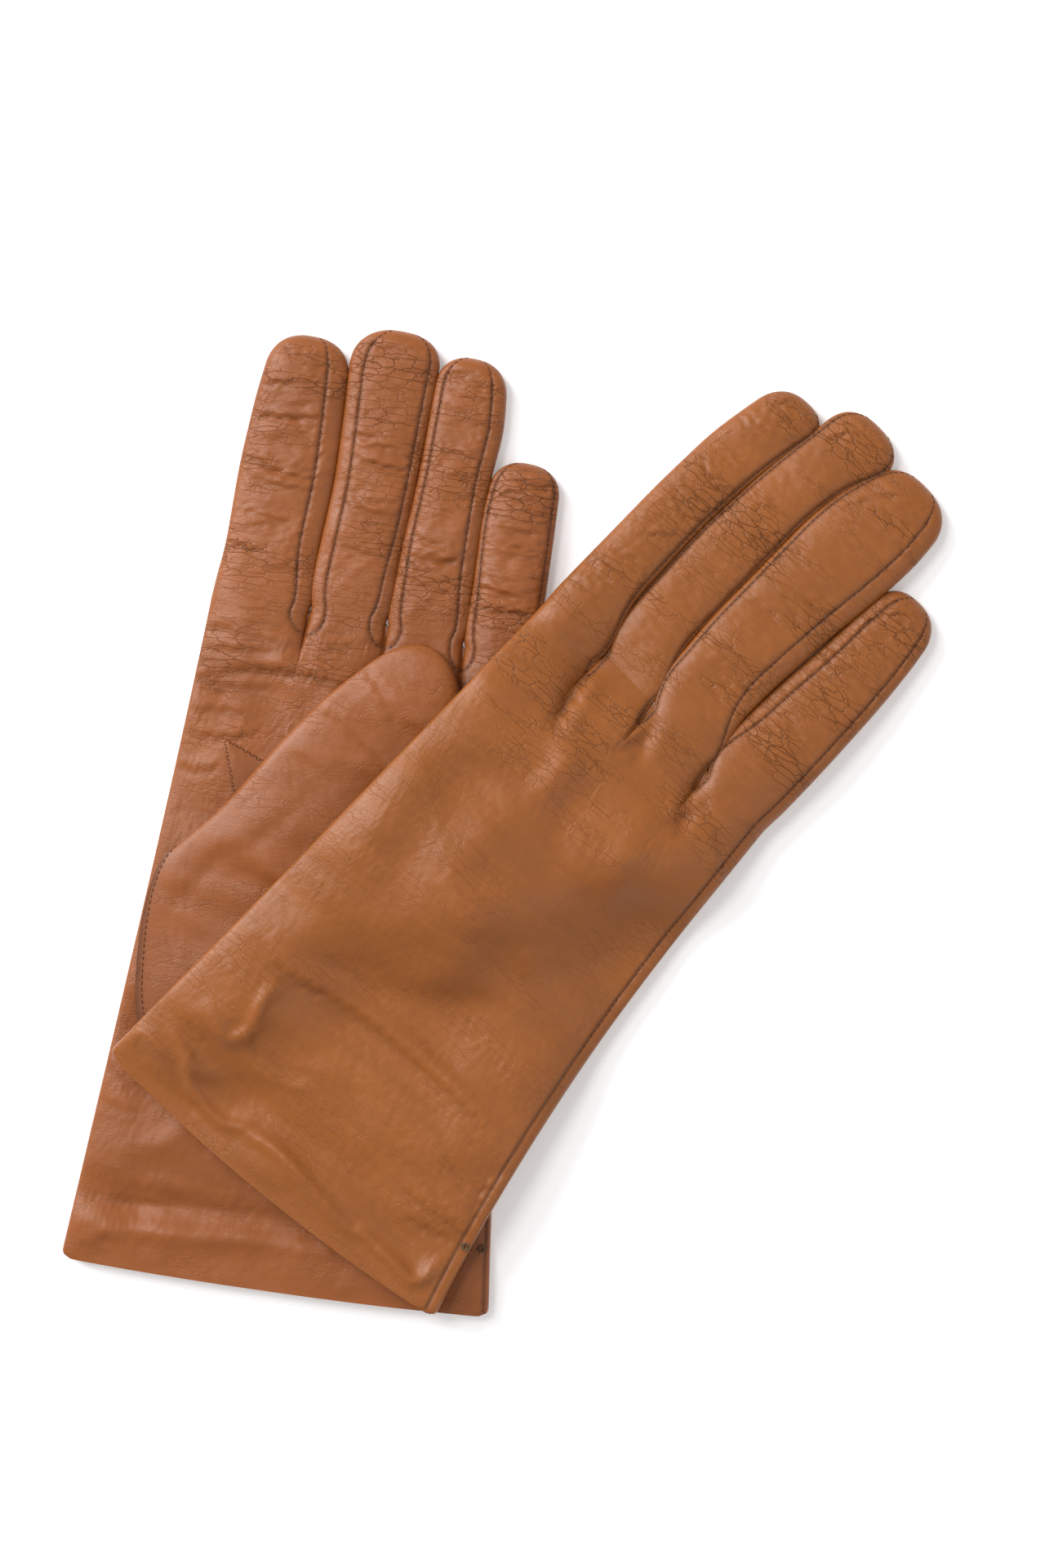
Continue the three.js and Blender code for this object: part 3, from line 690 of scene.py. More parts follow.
def crowded(count, strength=1.0):
    """Places from 0 to 1, crowded at both ends like half a cosine wave, or less than that."""
    even = np.linspace(0, 1, count + 1)
    return even + strength * ((1 - np.cos(np.pi * even)) / 2 - even)


def seam_insets(f, along):
    """How far the two seams lie in from the finger's edges: they draw apart from its foot on."""
    grown = smooth(np.asarray(along, float), 0, 28)
    return [foot + (seam - foot) * grown for foot, seam in zip(f["foot"], f["seams"])]


def places_across(f, half, counts, along=(0.0,)):
    """Places across a finger, -1 to 1, for each given half width and place along it: an edge
    band, the middle strip and the other edge band, crowded at the edges and at the seams."""
    half = np.atleast_1d(half)[:, None]
    insets = seam_insets(f, along)
    first = -1 + insets[0][:, None] / half
    last = 1 - insets[1][:, None] / half
    return np.concatenate([
        -1 + (first + 1) * crowded(counts[0], 0.6)[:-1],
        first + (last - first) * crowded(counts[1], 0.5)[:-1],
        last + (1 - last) * crowded(counts[2], 0.6),
    ], axis=1)


def rounded(u, power):
    """Height of a flattened round section at the place u, -1 to 1: (1 - |u|^p)^(1/p)."""
    return np.clip(1 - np.abs(u) ** power, 0, 1) ** (1 / power)


FOOT_DEPTH = 6.5  # how far the U of a seam reaches below the foot of a gap


def crotch_furrow(glove, x, y):
    """Nearness to the seams that run in a U round the foot of each gap between two fingers. Each
    U is a half ellipse from the seam of one finger to the seam of the next. The distance from it
    is the ellipse's radius less 1, over how fast that grows."""
    near = np.zeros(np.shape(x))
    for one, other in zip(glove["fingers"][:-1], glove["fingers"][1:]):
        foot_x, foot_y = foot_of_gap(one, other)
        wide = np.where(x < foot_x, one["foot"][1], other["foot"][0]) + FINGER_GAP / 2
        a, b = (x - foot_x) / wide, (y - foot_y) / FOOT_DEPTH
        radius = np.hypot(a, b) + 1e-6
        steep = np.hypot(a / wide, b / FOOT_DEPTH) / radius
        distance = (radius - 1) / np.maximum(steep, 1e-3)
        near = np.maximum(near, groove(distance) * (y < foot_y + 2))
    return near


def hand_layout(glove, counts):
    """Columns of a hand, folded side to sewn side: the place across in the plan at the roots, the
    height of the root line there, and the place across its own finger, -1 to 1."""
    xs, ys, us = [], [], []
    for f in glove["fingers"]:
        u = places_across(f, f["half"], counts)[0]
        xs.append(f["x"] + f["half"] * u)
        ys.append(f["y"] - f["half"] * u * np.tan(f["lean"]))
        us.append(u)
    return np.concatenate(xs), np.concatenate(ys), np.concatenate(us)


def cuff_corners(glove, v):
    """The hand's two edges at the share v, rounded off at the cuff's corners as a quarter circle."""
    from_end = np.clip(v * glove["length"] / CORNER_RADIUS, 0, 1)
    cut = CORNER_RADIUS * (1 - np.sqrt(1 - (1 - from_end) ** 2))
    return fold_edge(glove, v) + cut, sewn_edge(glove, v) - cut


def hand_face(glove, up, counts, lines, v):
    """One face of a hand as (plan x, plan y, height, seam, worn) grids, where the seam mark also
    holds painted shade in the creases. The plan runs straight from the cuff to the roots. The
    height is half the hand's height times a flattened round section, which turns into the
    fingers' own rounding over the last stretch, with the waves, creases, ridges and furrows of
    the leather added."""
    root_x, root_y, u = hand_layout(glove, counts)
    at_root = (root_x - glove["fold"]) / (glove["sewn"] - glove["fold"])
    columns = len(root_x)
    even = crowded(columns - 1, 0.5)
    share = even + (at_root - even) * smooth(v, 0.72, 0.93)
    low, high = cuff_corners(glove, v)
    x = low + (high - low) * share
    here = glove["fold"] + (glove["sewn"] - glove["fold"]) * share
    root_y = np.interp(here, root_x, root_y)
    y = cuff_line(glove, x) * (1 - v) + v * root_y
    near_root = smooth(root_y - y, ROUNDING, 0)
    inward = y - cuff_line(glove, x)
    tall = CUFF_HEIGHT + (HAND_HEIGHT - CUFF_HEIGHT) * smooth(y, 0, 45)
    tall = tall + (FINGER_HEIGHT - tall) * near_root
    section = rounded(2 * share - 1, HAND_ROUNDNESS)
    swell = section + (rounded(u, FINGER_ROUNDNESS) - section) * near_root
    lift = np.zeros_like(x)
    seam = np.zeros_like(x)
    worn = np.full_like(x, PLAIN_WEAR)
    if up:
        lift = rolling(x, y, BROAD[glove["name"]]) + rolling(x, y, SMALL[glove["name"]])
        pressed = creased(x, y, lines["creases"]) * (1 - near_root ** 2)
        lift = lift + pressed
        ridge = HEM_RIDGE + 1.2 * np.sin(x / 15)
        on_ridge = groove(inward - ridge, HEM_RIDGE_WIDTH)
        lift = lift + 0.5 * on_ridge * (0.75 + 0.3 * np.sin(x / 9))
        lift = lift - 0.7 * groove(inward - ridge - 10, HEM_RIDGE_WIDTH)
        lift = lift * (0.25 + 0.75 * smooth(inward, 0, 6))
        lift = lift + ridged(x, y, lines["ridges"]) * smooth(inward, 0, 3)
        furrow = crotch_furrow(glove, x, y)
        edge_inset = sewn_edge(glove, v) - x - glove["outseam"]
        outseam = groove(edge_inset)
        seam = np.maximum(furrow, outseam)
        lift = lift - SEAM_DEPTH * seam
        # Painted shade: a crease's depth also darkens the colour, through the seam mark.
        seam = np.maximum(seam, CREASE_SHADE * np.clip(-pressed, 0, 1))
        pucker = groove(edge_inset, 3) * np.sin(2 * np.pi * y / PUCKER_LENGTH)
        lift = lift + 0.06 * pucker
        worn = PLAIN_WEAR + 0.5 * groove(root_y - y - 14, 22)
    base = glove["drape"](x, y)
    middle = base + tall / 2
    height = middle + (tall / 2 * swell + lift * swell) * (1 if up else -1)
    return x, y, height, seam, worn


def body_name(glove, part):
    """A part's name with its glove's before it."""
    return glove["name"] + "_" + part


def joined(top, bottom):
    """A closed loop of columns over the top face and back underneath, for each pair of grids."""
    return [np.concatenate([a, b[:, ::-1][:, 1:-1]], axis=1) for a, b in zip(top, bottom)]


def hand_of(glove):
    """The whole hand: the closed loop of columns over the top and back underneath, cut into the
    two sheets. The top sheet takes a few columns round under the fold."""
    v = np.linspace(0, 1, HAND_ROWS + 1)[:, None]
    top = hand_face(glove, True, TOP_COUNTS, glove["lines"], v)
    bottom = hand_face(glove, False, BOTTOM_COUNTS, glove["lines"], v)
    x, y, z, seam, worn = joined(top, bottom)
    loop = placed(glove, x, y, z)
    normals = grid_normals(loop, wrap=True)
    across_top = top[0].shape[1]
    total = loop.shape[1]
    over = np.arange(-FOLD_UNDER, across_top)
    under = np.arange(across_top - 1, total - FOLD_UNDER + 1)
    for side, columns in ((glove["top"], over), (glove["bottom"], under)):
        columns = columns % total
        name = body_name(glove, "hand_" + side)
        piece = sheet_of_leather(
            name + "_leather", loop[:, columns], glove["leather"],
            marks={"seam": seam[:, columns], "worn": worn[:, columns]},
            normals=normals[:, columns],
        )
        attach(piece, body_name(glove, "hand"))
        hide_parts(name)
    glove["surface"] = top


# Each crease is (x, y, angle, length, bow, width, depth); each ridge (height, width, points).
left["lines"] = {
    "creases": [
        (-18, 188, 0.03, 53, -3.4, 1.2, 0.82), (-32, 191, -0.15, 22, -1.7, 1.0, 0.68),
        (3, 185, 0.17, 26, -1.9, 1.0, 0.61), (-28, 183, -0.08, 36, 1.0, 1.0, 0.68),
        (-20, 174, 0.02, 47, -3.5, 1.2, 0.82), (-30, 179, 0.1, 26, 1.2, 1.0, 0.54),
        (-34, 168, -0.04, 24, 1.2, 1.2, 0.61), (-34, 153.3, 0.12, 18, 1.2, 1.0, 0.68),
        (-36, 161, 0.05, 18, -0.8, 1.0, 0.54), (-40, 143, 0.1, 12, 1.0, 1.0, 0.48),
        (-48, 51, -0.3, 22, 2.0, 1.4, 0.32), (-52, 44, -0.2, 14, 1.0, 1.2, 0.24),
        (-44, 16.8, 0.02, 30, 1.2, 1.5, 0.36), (-40, 21, -0.05, 34, 1.0, 1.4, 0.28),
        (-14, 18, 0.04, 34, 1.0, 1.5, 0.28),
    ],
    "ridges": [
        (1.4, 3.0, [(-60, 11), (-46, 10), (-25, 9.8), (-6, 10.6), (12, 10)]),
        (0.7, 2.2, [(-57, 5), (-50, 8), (-44, 4)]),
        (-1.0, 3.5, [(-58, 19), (-46, 17.5), (-28, 18.5), (-8, 18)]),
        (0.7, 4.0, [(-52, 30), (-36, 36), (-30, 48)]),
        (0.8, 5.0, [(-38, 140), (-30, 160), (-34, 178)]),
        (-0.8, 3.0, [(-13, 186), (-14, 180), (-19, 172)]),
        (-0.7, 3.0, [(9, 186), (8, 180), (4, 174)]),
    ],
}
right["lines"] = {
    "creases": [
        (-22.5, 162, 4.85, 22, 0.6, 1.7, 1.22), (7.9, 173, -0.41, 24, -2.2, 1.4, 0.68),
        (27, 160, 1.35, 18, 1.5, 1.5, 0.82), (-16, 173.5, 0.49, 18, -3.0, 1.2, 0.61),
        (1, 163, 1.2, 16, 0.8, 1.4, 0.68), (-31, 168, 0.4, 14, 1.0, 1.0, 0.54),
        (-37, 160, 0.2, 12, 0.8, 1.0, 0.41), (-10, 50.5, 0.04, 56, -2.4, 1.4, 0.52),
        (22, 50, -0.05, 36, -1.0, 1.4, 0.4), (-31, 47, 0.14, 25, 3.9, 1.4, 0.36),
        (4, 44, 0.05, 40, -1.5, 1.5, 0.28), (-28, 25, -0.7, 16, 1.0, 1.2, 0.32),
        (40, 20, 0.03, 24, 0.6, 1.4, 0.56), (44, 16, 0.25, 16, 0.8, 1.2, 0.48),
        (44.5, 22.5, -0.25, 16, 0.6, 1.2, 0.48), (48.6, 31, -1.3, 20, 0.8, 1.4, 0.48),
        (50, 36, 0.5, 14, 1.0, 1.2, 0.32), (38, 34, -0.4, 22, 1.5, 1.4, 0.28),
    ],
    "ridges": [
        (1.4, 2.0, [(-58, 5), (-55.8, 8.5), (-46, 7.5)]),
        (1.4, 2.2, [(-52.5, 15.7), (-39.5, 10.8), (-33.4, 11.2)]),
        (1.8, 2.0, [(-42, 10.6), (-34.7, 4.8), (-23, 2.6), (-16.6, 6.2)]),
        (2.2, 2.2, [(-16.1, 5), (-5, 6.6), (9.9, 4.2), (23.6, 2), (28.8, 3.6)]),
        (2.1, 2.2, [(28.8, 3.6), (40.8, 2.6), (49, 2.4), (51, 10)]),
        (1.8, 2.4, [(-45.5, 26), (-36.7, 23.1), (-32.7, 28.2), (-34.9, 36.4), (-35.2, 43.5)]),
        (1.2, 3.0, [(-39.8, 49.5), (-23.6, 52), (-0.2, 54.5), (27.5, 52), (39.4, 50.5)]),
        (-0.9, 3.0, [(-30, 44), (-16, 46), (0, 47.5), (24, 46)]),
        (0.9, 2.2, [(-26.4, 21.5), (-16.3, 22.5), (-8.8, 26.7)]),
        (0.9, 2.6, [(-16.7, 29), (-9.3, 33), (-2.3, 33.5)]),
        (-1.2, 3.0, [(14, 14), (30, 12), (44, 9)]),
        (2.0, 5.0, [(-14, 151), (-11, 143), (-11.5, 132)]),
        (1.4, 7.0, [(-14, 128), (-17, 114), (-15, 100)]),
        (-1.2, 6.0, [(2, 148), (-1, 132), (4, 116)]),
        (1.5, 6.0, [(16, 150), (20, 132), (26, 119)]),
        (1.2, 7.0, [(1, 95), (1, 80), (-5, 65)]),
        (1.0, 7.0, [(-44, 120), (-43, 101), (-45, 84)]),
        (-1.0, 7.0, [(-32, 130), (-31, 105), (-26, 84)]),
        (-1.2, 8.0, [(24, 100), (30, 82), (32, 64)]),
        (-1.5, 3.0, [(-23.5, 174), (-22.8, 162), (-20.5, 150)]),
        (-1.4, 2.4, [(0, 174), (1.5, 166), (4, 158)]),
        (-1.4, 2.4, [(21, 166), (23, 158), (27, 150)]),
    ],
}
hand_of(left)
hand_of(right)

# ---------------------------------------------------------------- fingers
# Each finger is a back and a palm strip joined by narrow side strips, sewn with the seams inside,
# flattened as it lies empty. The index finger has no side strip at the fold, nor the little
# finger at the outseam. They are supple: the right glove's fingers slope smoothly from its hand
# down to the table.
FINGER_ROWS = 120
TIP_ROWS = 30
PRESSED = 0.35  # how much fuller than its sides a finger is, so that neighbours touch
FOOT_BULGE = 0.7  # the folded strips bulge at the foot of each gap between two fingers
AVERAGED = 9  # length over which a finger's sides are smoothed
TIP_OUTLINE = 2.3
TIP_FALL = 3.0
FALL_ROUNDNESS = 2.2


def edge_line(f, along, which, root_half):
    """One edge's distance from the finger's middle line: straight between the places given in its
    sides, smoothed by a moving average of 9 mm taken twice, and exactly half the root's width at
    the root. The fingers press on each other, and bulge at the foot of each gap."""
    stations = [(0, root_half, root_half)] + f["sides"]
    step = 0.5
    fine = np.arange(-20, f["length"] + 20, step)
    line = np.interp(fine, [row[0] for row in stations], [row[which] for row in stations])
    reach = round(AVERAGED / step / 2)
    share = np.full(2 * reach + 1, 1 / (2 * reach + 1))
    for _ in range(2):
        line = np.convolve(np.pad(line, reach, mode="edge"), share, mode="valid")
    line = np.interp(along, fine, line)
    line = line + (root_half - line[0]) * (1 - smooth(along, 0, 9)) + PRESSED * smooth(along, 1, 9)
    outermost = (f["name"], which) in (("index", 1), ("little", 2))
    if outermost:
        return line
    return line + FOOT_BULGE * smooth(along, 0, 4) * (1 - smooth(along, 4, 20))


def finger_loop(glove, f, seed):
    """The closed surface of one finger as (grid in metres, seam, worn), columns over the top and
    back underneath; the seam mark also holds painted shade in the creases. Half the width eases
    from root to tip and closes in a round end, and the section is a flattened round that thins
    towards the end."""
    end_round = f["tip"] / 2
    straight = f["length"] - end_round
    along = np.concatenate([
        np.linspace(0, straight, FINGER_ROWS, endpoint=False),
        straight + end_round * np.sin(np.linspace(0, np.pi / 2, TIP_ROWS + 1)),
    ])
    root_half = f["half"] / np.cos(f["lean"])
    first = edge_line(f, along, 1, root_half)
    second = edge_line(f, along, 2, root_half)
    centre, broad = (second - first) / 2, (first + second) / 2
    closing = np.clip((along - straight) / end_round, 0, 1)
    half = broad * rounded(closing, TIP_OUTLINE)
    tall = FINGER_HEIGHT * np.clip(1 - closing ** TIP_FALL, 0, 1) ** (1 / FALL_ROUNDNESS)
    insets = seam_insets(f, along)
    lines = across_finger(f, seed, 8, f["crease_depth"]) + f["arcs"]
    faces = []
    for up, counts in ((True, TOP_COUNTS), (False, BOTTOM_COUNTS)):
        u = places_across(f, broad, counts, along)
        aside = centre[:, None] + half[:, None] * u
        forward = along[:, None] + np.zeros_like(u)
        x = f["x"] + aside * np.cos(f["lean"]) + forward * np.sin(f["lean"])
        y = f["y"] - aside * np.sin(f["lean"]) + forward * np.cos(f["lean"])
        root_x = f["x"] + f["half"] * u
        root_y = f["y"] - f["half"] * u * np.tan(f["lean"])
        middle_base = float(glove["drape"](f["x"], f["y"]))
        if glove is left:
            base = np.full_like(x, LEFT_AIR)
        else:
            slope = middle_base + (RIGHT_AIR - middle_base) * forward / f["length"]
            own = glove["drape"](root_x[0], root_y[0]) - middle_base
            base = slope + own * (1 - smooth(forward, 0, 30))
        swell = rounded(u, FINGER_ROUNDNESS)
        lift = np.zeros_like(x)
        seam = np.zeros_like(x)
        worn = np.full_like(x, 0.3)
        if up:
            fade = smooth(closing[:, None], 1.0, 0.3)
            grown = smooth(forward, 1, 9)
            lift = rolling(x, y, BROAD[glove["name"]]) * (1 - 0.5 * grown)
            lift = lift + rolling(x, y, SMALL[glove["name"]]) * (1 + 0.8 * grown)
            pressed = creased(aside, forward, lines) * grown
            lift = lift + pressed
            places = []
            if f["name"] != "index":
                places.append(broad[:, None] * (u + 1) - insets[0][:, None])
            places.append(broad[:, None] * (1 - u) - insets[1][:, None])
            for distance in places:
                seam = np.maximum(seam, groove(distance))
                gather = groove(distance, 2.6)
                lift = lift + 0.07 * gather * np.sin(2 * np.pi * forward / 3.3 + distance) * grown
            lift = (lift - SEAM_DEPTH * seam) * fade
            # Painted shade: a crease's depth also darkens the colour, through the seam mark.
            seam = np.maximum(seam, CREASE_SHADE * np.clip(-pressed, 0, 1))
            seam = seam * (0.3 + 0.7 * fade)
            for joint in f["joints"]:
                worn = np.maximum(worn, 0.3 + 0.7 * groove(forward - joint * f["length"], 9))
        tallness = tall[:, None]
        thin = tallness / FINGER_HEIGHT
        height = base + FINGER_HEIGHT / 2 * (1 - 0.35 * (1 - thin))
        height = height + (tallness / 2 * swell + lift * swell * thin) * (1 if up else -1)
        faces.append((x, y, height, seam, worn))
    top, bottom = faces
    x, y, z, seam, worn = joined(top, bottom)
    return placed(glove, x, y, z), seam, worn


def bend_with_hand(piece, glove, f):
    """Bakes the piece's place into its mesh; the root of the finger is not bent here."""
    x, y = f["x"], f["y"]
    z = float(glove["drape"](x, y)) + FINGER_HEIGHT / 2
    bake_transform(piece)


def fingers_of(glove, seed):
    """All four fingers, each loop cut at its seams into its strips, in the order of the columns."""
    band, strip = TOP_COUNTS[0], TOP_COUNTS[1]
    low_band, low_strip = BOTTOM_COUNTS[0], BOTTOM_COUNTS[1]
    for number, f in enumerate(glove["fingers"]):
        loop, seam, worn = finger_loop(glove, f, seed + number)
        f["seam_points"] = (loop[:, band], loop[:, band + strip])
        normals = grid_normals(loop, wrap=True)
        total = loop.shape[1]
        cut = {
            "first": band,
            "second": band + strip,
            "third": 2 * band + strip + low_band,
            "fourth": 2 * band + strip + low_band + low_strip,
        }
        if f["name"] == "index":
            cut["fourth"] = total - FOLD_UNDER
            cut["first"] = cut["fourth"] - total
        parts = [(glove["top"], cut["first"], cut["second"])]
        if f["name"] == "little":
            parts.append((glove["bottom"], cut["second"], cut["fourth"]))
        else:
            parts.append(("fourchette_outer", cut["second"], cut["third"]))
            parts.append((glove["bottom"], cut["third"], cut["fourth"]))
        if f["name"] != "index":
            parts.append(("fourchette_inner", cut["fourth"], total + cut["first"]))
        for side, start, end in parts:
            columns = np.arange(start, end + 1) % total
            name = body_name(glove, f["name"] + "_" + side)
            piece = sheet_of_leather(
                name + "_leather", loop[:, columns], glove["leather"], pole=True,
                marks={"seam": seam[:, columns], "worn": worn[:, columns]},
                normals=normals[:, columns],
            )
            bend_with_hand(piece, glove, f)
            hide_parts(name)


fingers_of(left, 40)
fingers_of(right, 60)

# ---------------------------------------------------------------- thumbs
# The left thumb is set into the palm by a round seam, and lies folded over it towards the ring
# finger. The right thumb is the same, flattened under its own palm, where it doesn't show.
THUMB_ROWS = 130
THUMB_TOP_COLUMNS = 44
THUMB_BOTTOM_COLUMNS = 24
THUMB_FALL = 2.6
THUMB_EDGE = 0.9  # height of the thumb where it leaves its seam


def left_thumb():
    """The thumb as a grid from its base seam to its tip: rows go from the edge that shows to the
    hidden one, bent towards the base seam's curve at the base. Its section is a flattened round,
    low at the seam and full from the middle on."""
    rows = THUMB_ROWS + 1
    shown_edge = curve_through([(-38.6, 125), (-28.6, 138.6), (-18.1, 153.6), (-7.6, 167.1),
                                (3.3, 178.2), (10.6, 184.2), (17, 186.8), (21, 187.2)], rows)
    hidden_edge = curve_through([(-44, 64), (-24, 82), (2, 117), (20, 143), (30, 160),
                                 (32.8, 170), (30, 179.5), (25.5, 185), (21, 187.2)], rows)
    base_seam = [(-38.6, 125), (-46.1, 118.7), (-49.7, 110), (-51.2, 98), (-51.0, 84),
                 (-50.0, 74), (-48, 68), (-44, 64)]
    share = np.linspace(0, 1, rows)[:, None]
    closing = np.clip((share - 0.86) / 0.14, 0, 1)
    tall = THUMB_EDGE + (THUMB_HEIGHT - THUMB_EDGE) * smooth(share, -0.05, 0.42)
    tall = tall * np.clip(1 - closing ** THUMB_FALL, 0, 1) ** (1 / FALL_ROUNDNESS)
    faces = []
    for up, count in ((True, THUMB_TOP_COLUMNS), (False, THUMB_BOTTOM_COLUMNS)):
        q = crowded(count)[None, :]
        base_line = curve_through(base_seam, count * 8 + 1)
        at = q[0] * (len(base_line) - 1)
        base = np.stack([np.interp(at, np.arange(len(base_line)), base_line[:, k])
                         for k in range(2)], axis=1)
        straight = shown_edge[0] + (hidden_edge[0] - shown_edge[0]) * q[0][:, None]
        pull = (base - straight)[None] * ((1 - share) ** 2)[:, :, None]
        plan = shown_edge[:, None] + (hidden_edge - shown_edge)[:, None] * q[0][None, :, None]
        plan = plan + pull
        x, y = plan[..., 0], plan[..., 1]
        u = 2 * q - 1
        swell = rounded(u, 2.7) + np.zeros_like(x)
        lift = np.zeros_like(x)
        if up:
            low = smooth(share, 0, 0.1) * (1 - closing)
            lift = (rolling(x, y, waves(23, 6, 60, 26, 0.5)) + rolling(x, y, SMALL["left"])) * low
            lift = lift + creased(x, y, [
                (10, 172, 2.2, 22, 1.5, 1.1, 0.35), (4, 160, 2.5, 30, 2.0, 1.4, 0.3),
                (-20, 126, 0.7, 40, 3.0, 2.0, 0.35), (-36, 112, 0.9, 24, 2.0, 1.6, 0.3),
            ]) * low
        middle = HAND_HEIGHT + 0.45 + tall / 2
        z = middle + (tall / 2 * swell + lift * swell) * (1 if up else -1)
        seam = groove(share * 75, 1.1) * np.ones_like(x)
        faces.append((x, y, z, seam, np.full_like(x, 0.25)))
    return joined(*faces)


x, y, z, seam, worn = left_thumb()
thumb_leather = sheet_of_leather(
    "left_thumb_leather", placed(left, x, y, z), left["leather"], wrap=True, pole=True,
    marks={"seam": seam, "worn": worn},
)
left_thumb_seam = [grid[2, :THUMB_TOP_COLUMNS] for grid in (x, y, z)]
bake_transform(thumb_leather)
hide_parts("left_thumb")


def right_thumb():
    """The hidden thumb: a straight flattened tube with a round tip that slopes from the left
    hand's level down to the table."""
    t = RIGHT_THUMB
    a = np.radians(t["heading"])
    straight = t["length"] - t["tip"]
    along = np.concatenate([
        np.linspace(0, straight, 40, endpoint=False),
        straight + t["tip"] * np.sin(np.linspace(0, np.pi / 2, 14)),
    ])[:, None]
    closing = np.clip((along - straight) / t["tip"], 0, 1)
    half = t["base"] + (t["tip"] - t["base"]) * along / t["length"]
    half = half * rounded(closing, FALL_ROUNDNESS)
    tall = THUMB_HEIGHT * np.clip(1 - closing ** THUMB_FALL, 0, 1) ** (1 / FALL_ROUNDNESS)
    turn = np.linspace(0, 2 * np.pi, 48, endpoint=False)[None, :]
    aside = -np.sign(np.cos(turn)) * np.abs(np.cos(turn)) ** 0.7 * half
    rise = np.sign(np.sin(turn)) * np.abs(np.sin(turn)) ** 0.7 * tall / 2
    x = t["x"] + aside * np.cos(a) + along * np.sin(a)
    y = t["y"] - aside * np.sin(a) + along * np.cos(a)
    return placed(right, x, y, right_thumb_floor(along / t["length"]) + THUMB_HEIGHT / 2 + rise)


grid = right_thumb()
hidden_thumb = sheet_of_leather(
    "right_thumb_leather", grid, right["leather"], wrap=True, pole=True,
    marks={"seam": np.zeros(grid.shape[:2]), "worn": np.zeros(grid.shape[:2])},
)
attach(hidden_thumb, "right_thumb")
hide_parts("right_thumb")

# ---------------------------------------------------------------- turned cuff hems
# The leather is turned in at the cuff and lies as a flat sleeve inside it, raw edge inwards.
HEM_DEPTH = 22
HEM_ROWS = 24
HEM_AIR = 0.15


def cuff_hem(glove):
    """The sleeve just inside the hand's two faces: the hand's own rows at the cuff, drawn in along
    their normals by the leather's thickness and a little air."""
    v = np.linspace(0.4, HEM_DEPTH, HEM_ROWS)[:, None] / glove["length"]
    top = hand_face(glove, True, TOP_COUNTS, glove["lines"], v)
    bottom = hand_face(glove, False, BOTTOM_COUNTS, glove["lines"], v)
    x, y, z = joined(top, bottom)[:3]
    loop = placed(glove, x, y, z)
    return loop - grid_normals(loop, wrap=True) * (LEATHER + HEM_AIR) / 1000


for glove in (left, right):
    name = body_name(glove, "cuff_hem")
    grid = cuff_hem(glove)
    piece = sheet_of_leather(
        name + "_leather", grid, glove["inside"], wrap=True,
        marks={"seam": np.zeros(grid.shape[:2]), "worn": np.zeros(grid.shape[:2])},
    )
    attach(piece, body_name(glove, "hand"))
    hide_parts(name)

# ---------------------------------------------------------------- stitching
# Fine dark brown thread in short stitches. The outseams run down from the little finger, U-shaped
# seams go round the foot of each gap, and the finger strips are sewn all along.
STITCH_LENGTH = 1.15
STITCH_PITCH = 1.8
STITCH_RADIUS = 0.13
STITCH_LIFT = 0.05
STITCH_SIDES = 6


def stitches(name, lines, zigzag=0.0, pitch=STITCH_PITCH):
    """Short round stitches along lines of points in metres: each is a six-sided spindle, four
    rings long and thick in its middle. zigzag swings them to either side in turn, in radians."""
    starts, ways = [], []
    for line in lines:
        run = np.concatenate([[0], np.cumsum(np.linalg.norm(np.diff(line, axis=0), axis=1))])
        at = np.arange(pitch / 2000, run[-1], pitch / 1000)
        middle = np.stack([np.interp(at, run, line[:, k]) for k in range(3)], axis=1)
        ahead = np.stack([np.interp(at + 3e-4, run, line[:, k]) for k in range(3)], axis=1)
        behind = np.stack([np.interp(at - 3e-4, run, line[:, k]) for k in range(3)], axis=1)
        way = ahead - behind
        way = way / np.maximum(np.linalg.norm(way, axis=1, keepdims=True), 1e-9)
        swing = zigzag * np.where(np.arange(len(at)) % 2, 1, -1)[:, None]
        aside = np.stack([-way[:, 1], way[:, 0], np.zeros(len(at))], axis=1)
        starts.append(middle)
        ways.append(way * np.cos(swing) + aside * np.sin(swing))
    middle, way = np.concatenate(starts), np.concatenate(ways)
    aside = np.stack([-way[:, 1], way[:, 0], np.zeros(len(way))], axis=1)
    aside = aside / np.maximum(np.linalg.norm(aside, axis=1, keepdims=True), 1e-9)
    up = np.cross(way, aside)
    forward = np.array([-0.5, -0.3, 0.3, 0.5])[:, None, None] * STITCH_LENGTH / 1000
    thick = np.array([0.35, 1.0, 1.0, 0.35])[:, None, None] * STITCH_RADIUS / 1000
    angles = (np.arange(STITCH_SIDES) * 2 * np.pi / STITCH_SIDES)[:, None]
    middle, way, aside, up = (part[:, None, None] for part in (middle, way, aside, up))
    rings = middle + way * forward + (aside * np.cos(angles) + up * np.sin(angles)) * thick
    count, ring_count = rings.shape[:2]
    number = np.arange(ring_count * STITCH_SIDES).reshape(ring_count, STITCH_SIDES)
    first = number.size * np.arange(count)
    around = np.roll(number, -1, axis=1)
    side = np.stack([number[:-1], around[:-1], around[1:], number[1:]], axis=-1).reshape(-1, 4)
    faces = (side[None] + first[:, None, None]).reshape(-1, 4).tolist()
    low = (number[0, ::-1][None] + first[:, None]).tolist()
    high = (number[-1][None] + first[:, None]).tolist()
    mesh = bpy.data.meshes.new(name)
    mesh.from_pydata(rings.reshape(-1, 3).tolist(), [], faces + low + high)
    mesh.materials.append(sewing_thread)
    mesh.shade_smooth()
    piece = bpy.data.objects.new(name, mesh)
    bpy.context.scene.collection.objects.link(piece)
    return piece


